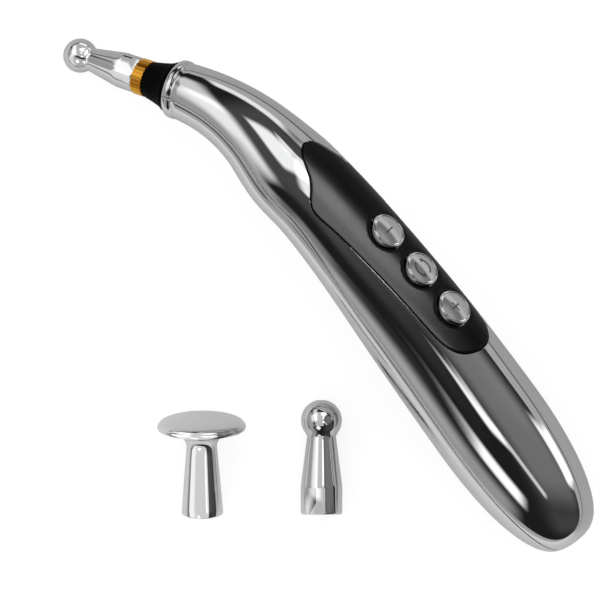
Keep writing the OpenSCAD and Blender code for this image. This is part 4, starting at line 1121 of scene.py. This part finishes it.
def painted_table_light(tree):
    """The table's painted light and shade in what shines: lighter and darker bands, and the painted bright
    patch
    """
    where = chain(tree, "TexCoord").outputs["Object"]
    side = dot_node(tree, where, TABLE_SIDE)
    band = chain(tree, "MapRange", {
        "Value": side, "From Min": -TABLE_REACH, "From Max": TABLE_REACH})
    # Painted light and shade: bands of the table's colour that only what shines sees
    shade = chain(tree, "ValToRGB", {"Fac": band.outputs[0]})
    ramp = shade.color_ramp
    ramp.interpolation = "EASE"
    (first, level), *between, (last, last_level) = PAINTED_TABLE_LEVELS
    ramp.elements[0].position, ramp.elements[0].color = first, (level, level, level, 1)
    ramp.elements[1].position, ramp.elements[1].color = last, (last_level, last_level, last_level, 1)
    for position, level in between:
        ramp.elements.new(position).color = (level, level, level, 1)
    # Adds the painted pool of light to the painted bands
    return math_node(tree, "ADD", shade.outputs[0], painted_light_patch(tree, where, side))


def table_white():
    """A white table, which shows a faint shadow, with painted light and shade on it in what shines"""
    table = bpy.data.materials.new("table_white")
    table.use_nodes = True
    tree = table.node_tree
    tree.nodes.clear()
    path = chain(tree, "LightPath")
    seen = seen_straight(tree, path)
    own = chain(tree, "Mix", {"Factor": seen, "A": TABLE_TONE, "B": TABLE_TONE_SEEN})
    # In what shines, the table's colour is painted light and shade
    grey = chain(tree, "Mix", {
        "Factor": path.outputs["Is Glossy Ray"], "A": own.outputs["Result"], "B": painted_table_light(tree)})
    diffuse = chain(tree, "BsdfDiffuse", {"Color": grey.outputs["Result"]})
    light = chain(tree, "Emission", {"Strength": math_node(tree, "MULTIPLY", seen, TABLE_GLOW)})
    both = chain(tree, "AddShader", {0: diffuse.outputs[0], 1: light.outputs[0]})
    chain(tree, "OutputMaterial", {"Surface": both.outputs[0]})
    return table


def make_floor():
    bm = bmesh.new()
    bmesh.ops.create_circle(bm, cap_ends=True, segments=64, radius=TABLE_RADIUS)
    floor = finish_mesh(bm, "floor", Matrix.Identity(4), 30)
    floor.data.materials.append(table_white())


# Pale cards that only some pieces mirror: name, pieces, spot of a mirror ball where the camera would see
# the card, turn, distance, width, height and brightness
CARDS = (
    ("card_disc", ("tip_disc_spare",), -0.17, 0.0, 0.0, 0.12, 0.43, 0.80, 0.75),
    ("card_ball", ("tip_ball_spare",), -0.10, 0.08, 0.0, 0.30, 0.30, 0.50, 0.55),
    ("card_tip", ("tip_ball",), 0.104, 0.309, -0.33, 0.12, 0.50, 0.262, 0.50),
    ("card_tip_low", ("tip_ball",), -0.146, -0.433, -0.33, 0.12, 0.50, 0.146, 0.48),
    ("card_panel", ("panel_black",), 0.22, 0.30, 0.73, 0.30, 0.17, 0.16, 25.0),
    ("card_panel_wide", ("panel_black",), -0.08, 0.0, 0.73, 0.30, 0.38, 0.34, 14.0),
    ("card_keys", ("key_minus", "key_mode", "key_plus"), 0.49, 0.43, 0.0, 0.25, 0.30, 0.20, 0.18),
)


def make_card(name, mirrored, across, up, turn, distance, wide, high, power):
    """One of the cards, which stands square to its own direction"""
    towards, rise = mirrored_way(across, up, turn)
    light = bpy.data.lights.new(name, "AREA")
    light.shape, light.size, light.size_y = "RECTANGLE", wide, high
    light.energy = power * math.pi * wide * high
    card = bpy.data.objects.new(name, light)
    bpy.context.scene.collection.objects.link(card)
    pieces = [bpy.data.objects[piece] for piece in mirrored]
    corners = [Vector(piece.bound_box[k]) for piece in pieces for k in (0, 6)]
    middle = sum(corners, Vector()) / len(corners)
    card.matrix_world = Matrix((rise.cross(towards), rise, towards)).transposed().to_4x4()
    card.location = middle + towards * distance
    card.visible_camera = card.visible_diffuse = False
    group = bpy.data.collections.new(f"mirror_{name}")
    for piece in pieces:
        group.objects.link(piece)
    card.light_linking.receiver_collection = group


class PEN_OT_stage(bpy.types.Operator):
    """Makes the floor, the soft light and the camera"""
    bl_idname = "pen.stage"
    bl_label = "Stage"

    def execute(self, context):
        context.scene.view_settings.view_transform = "Standard"
        make_camera()
        make_world()
        make_floor()
        for card in CARDS:
            make_card(*card)
        for loose in ("tip_ball_spare", "tip_disc_spare"):
            bpy.data.objects[loose].visible_glossy = False
        return {"FINISHED"}


class PEN_PT_panel(bpy.types.Panel):
    """Lists the operators that make the set"""
    bl_idname = "PEN_PT_panel"
    bl_label = "Acupuncture pen"
    bl_space_type = "VIEW_3D"
    bl_region_type = "UI"
    bl_category = "Pen"

    def draw(self, context):
        for operator in OPERATORS:
            self.layout.operator(operator.bl_idname)
        for group in (sizes(), colours(), studio()):
            for name in group.__annotations__:
                self.layout.prop(group, name)


OPERATORS = (PEN_OT_shells, PEN_OT_panel, PEN_OT_keys, PEN_OT_neck, PEN_OT_tips, PEN_OT_inside, PEN_OT_stage)
CLASSES = (PenSizes, PenColours, StudioSettings, *OPERATORS, PEN_PT_panel)


def register():
    for item in CLASSES:
        bpy.utils.register_class(item)
    bpy.types.Scene.pen_sizes = PointerProperty(type=PenSizes)
    bpy.types.Scene.pen_colours = PointerProperty(type=PenColours)
    bpy.types.Scene.pen_studio = PointerProperty(type=StudioSettings)


def unregister():
    del bpy.types.Scene.pen_sizes, bpy.types.Scene.pen_colours, bpy.types.Scene.pen_studio
    for item in reversed(CLASSES):
        bpy.utils.unregister_class(item)


def main():
    register()
    for operator in OPERATORS:
        getattr(bpy.ops.pen, operator.bl_idname.split(".")[1])()


if __name__ == "__main__":
    main()
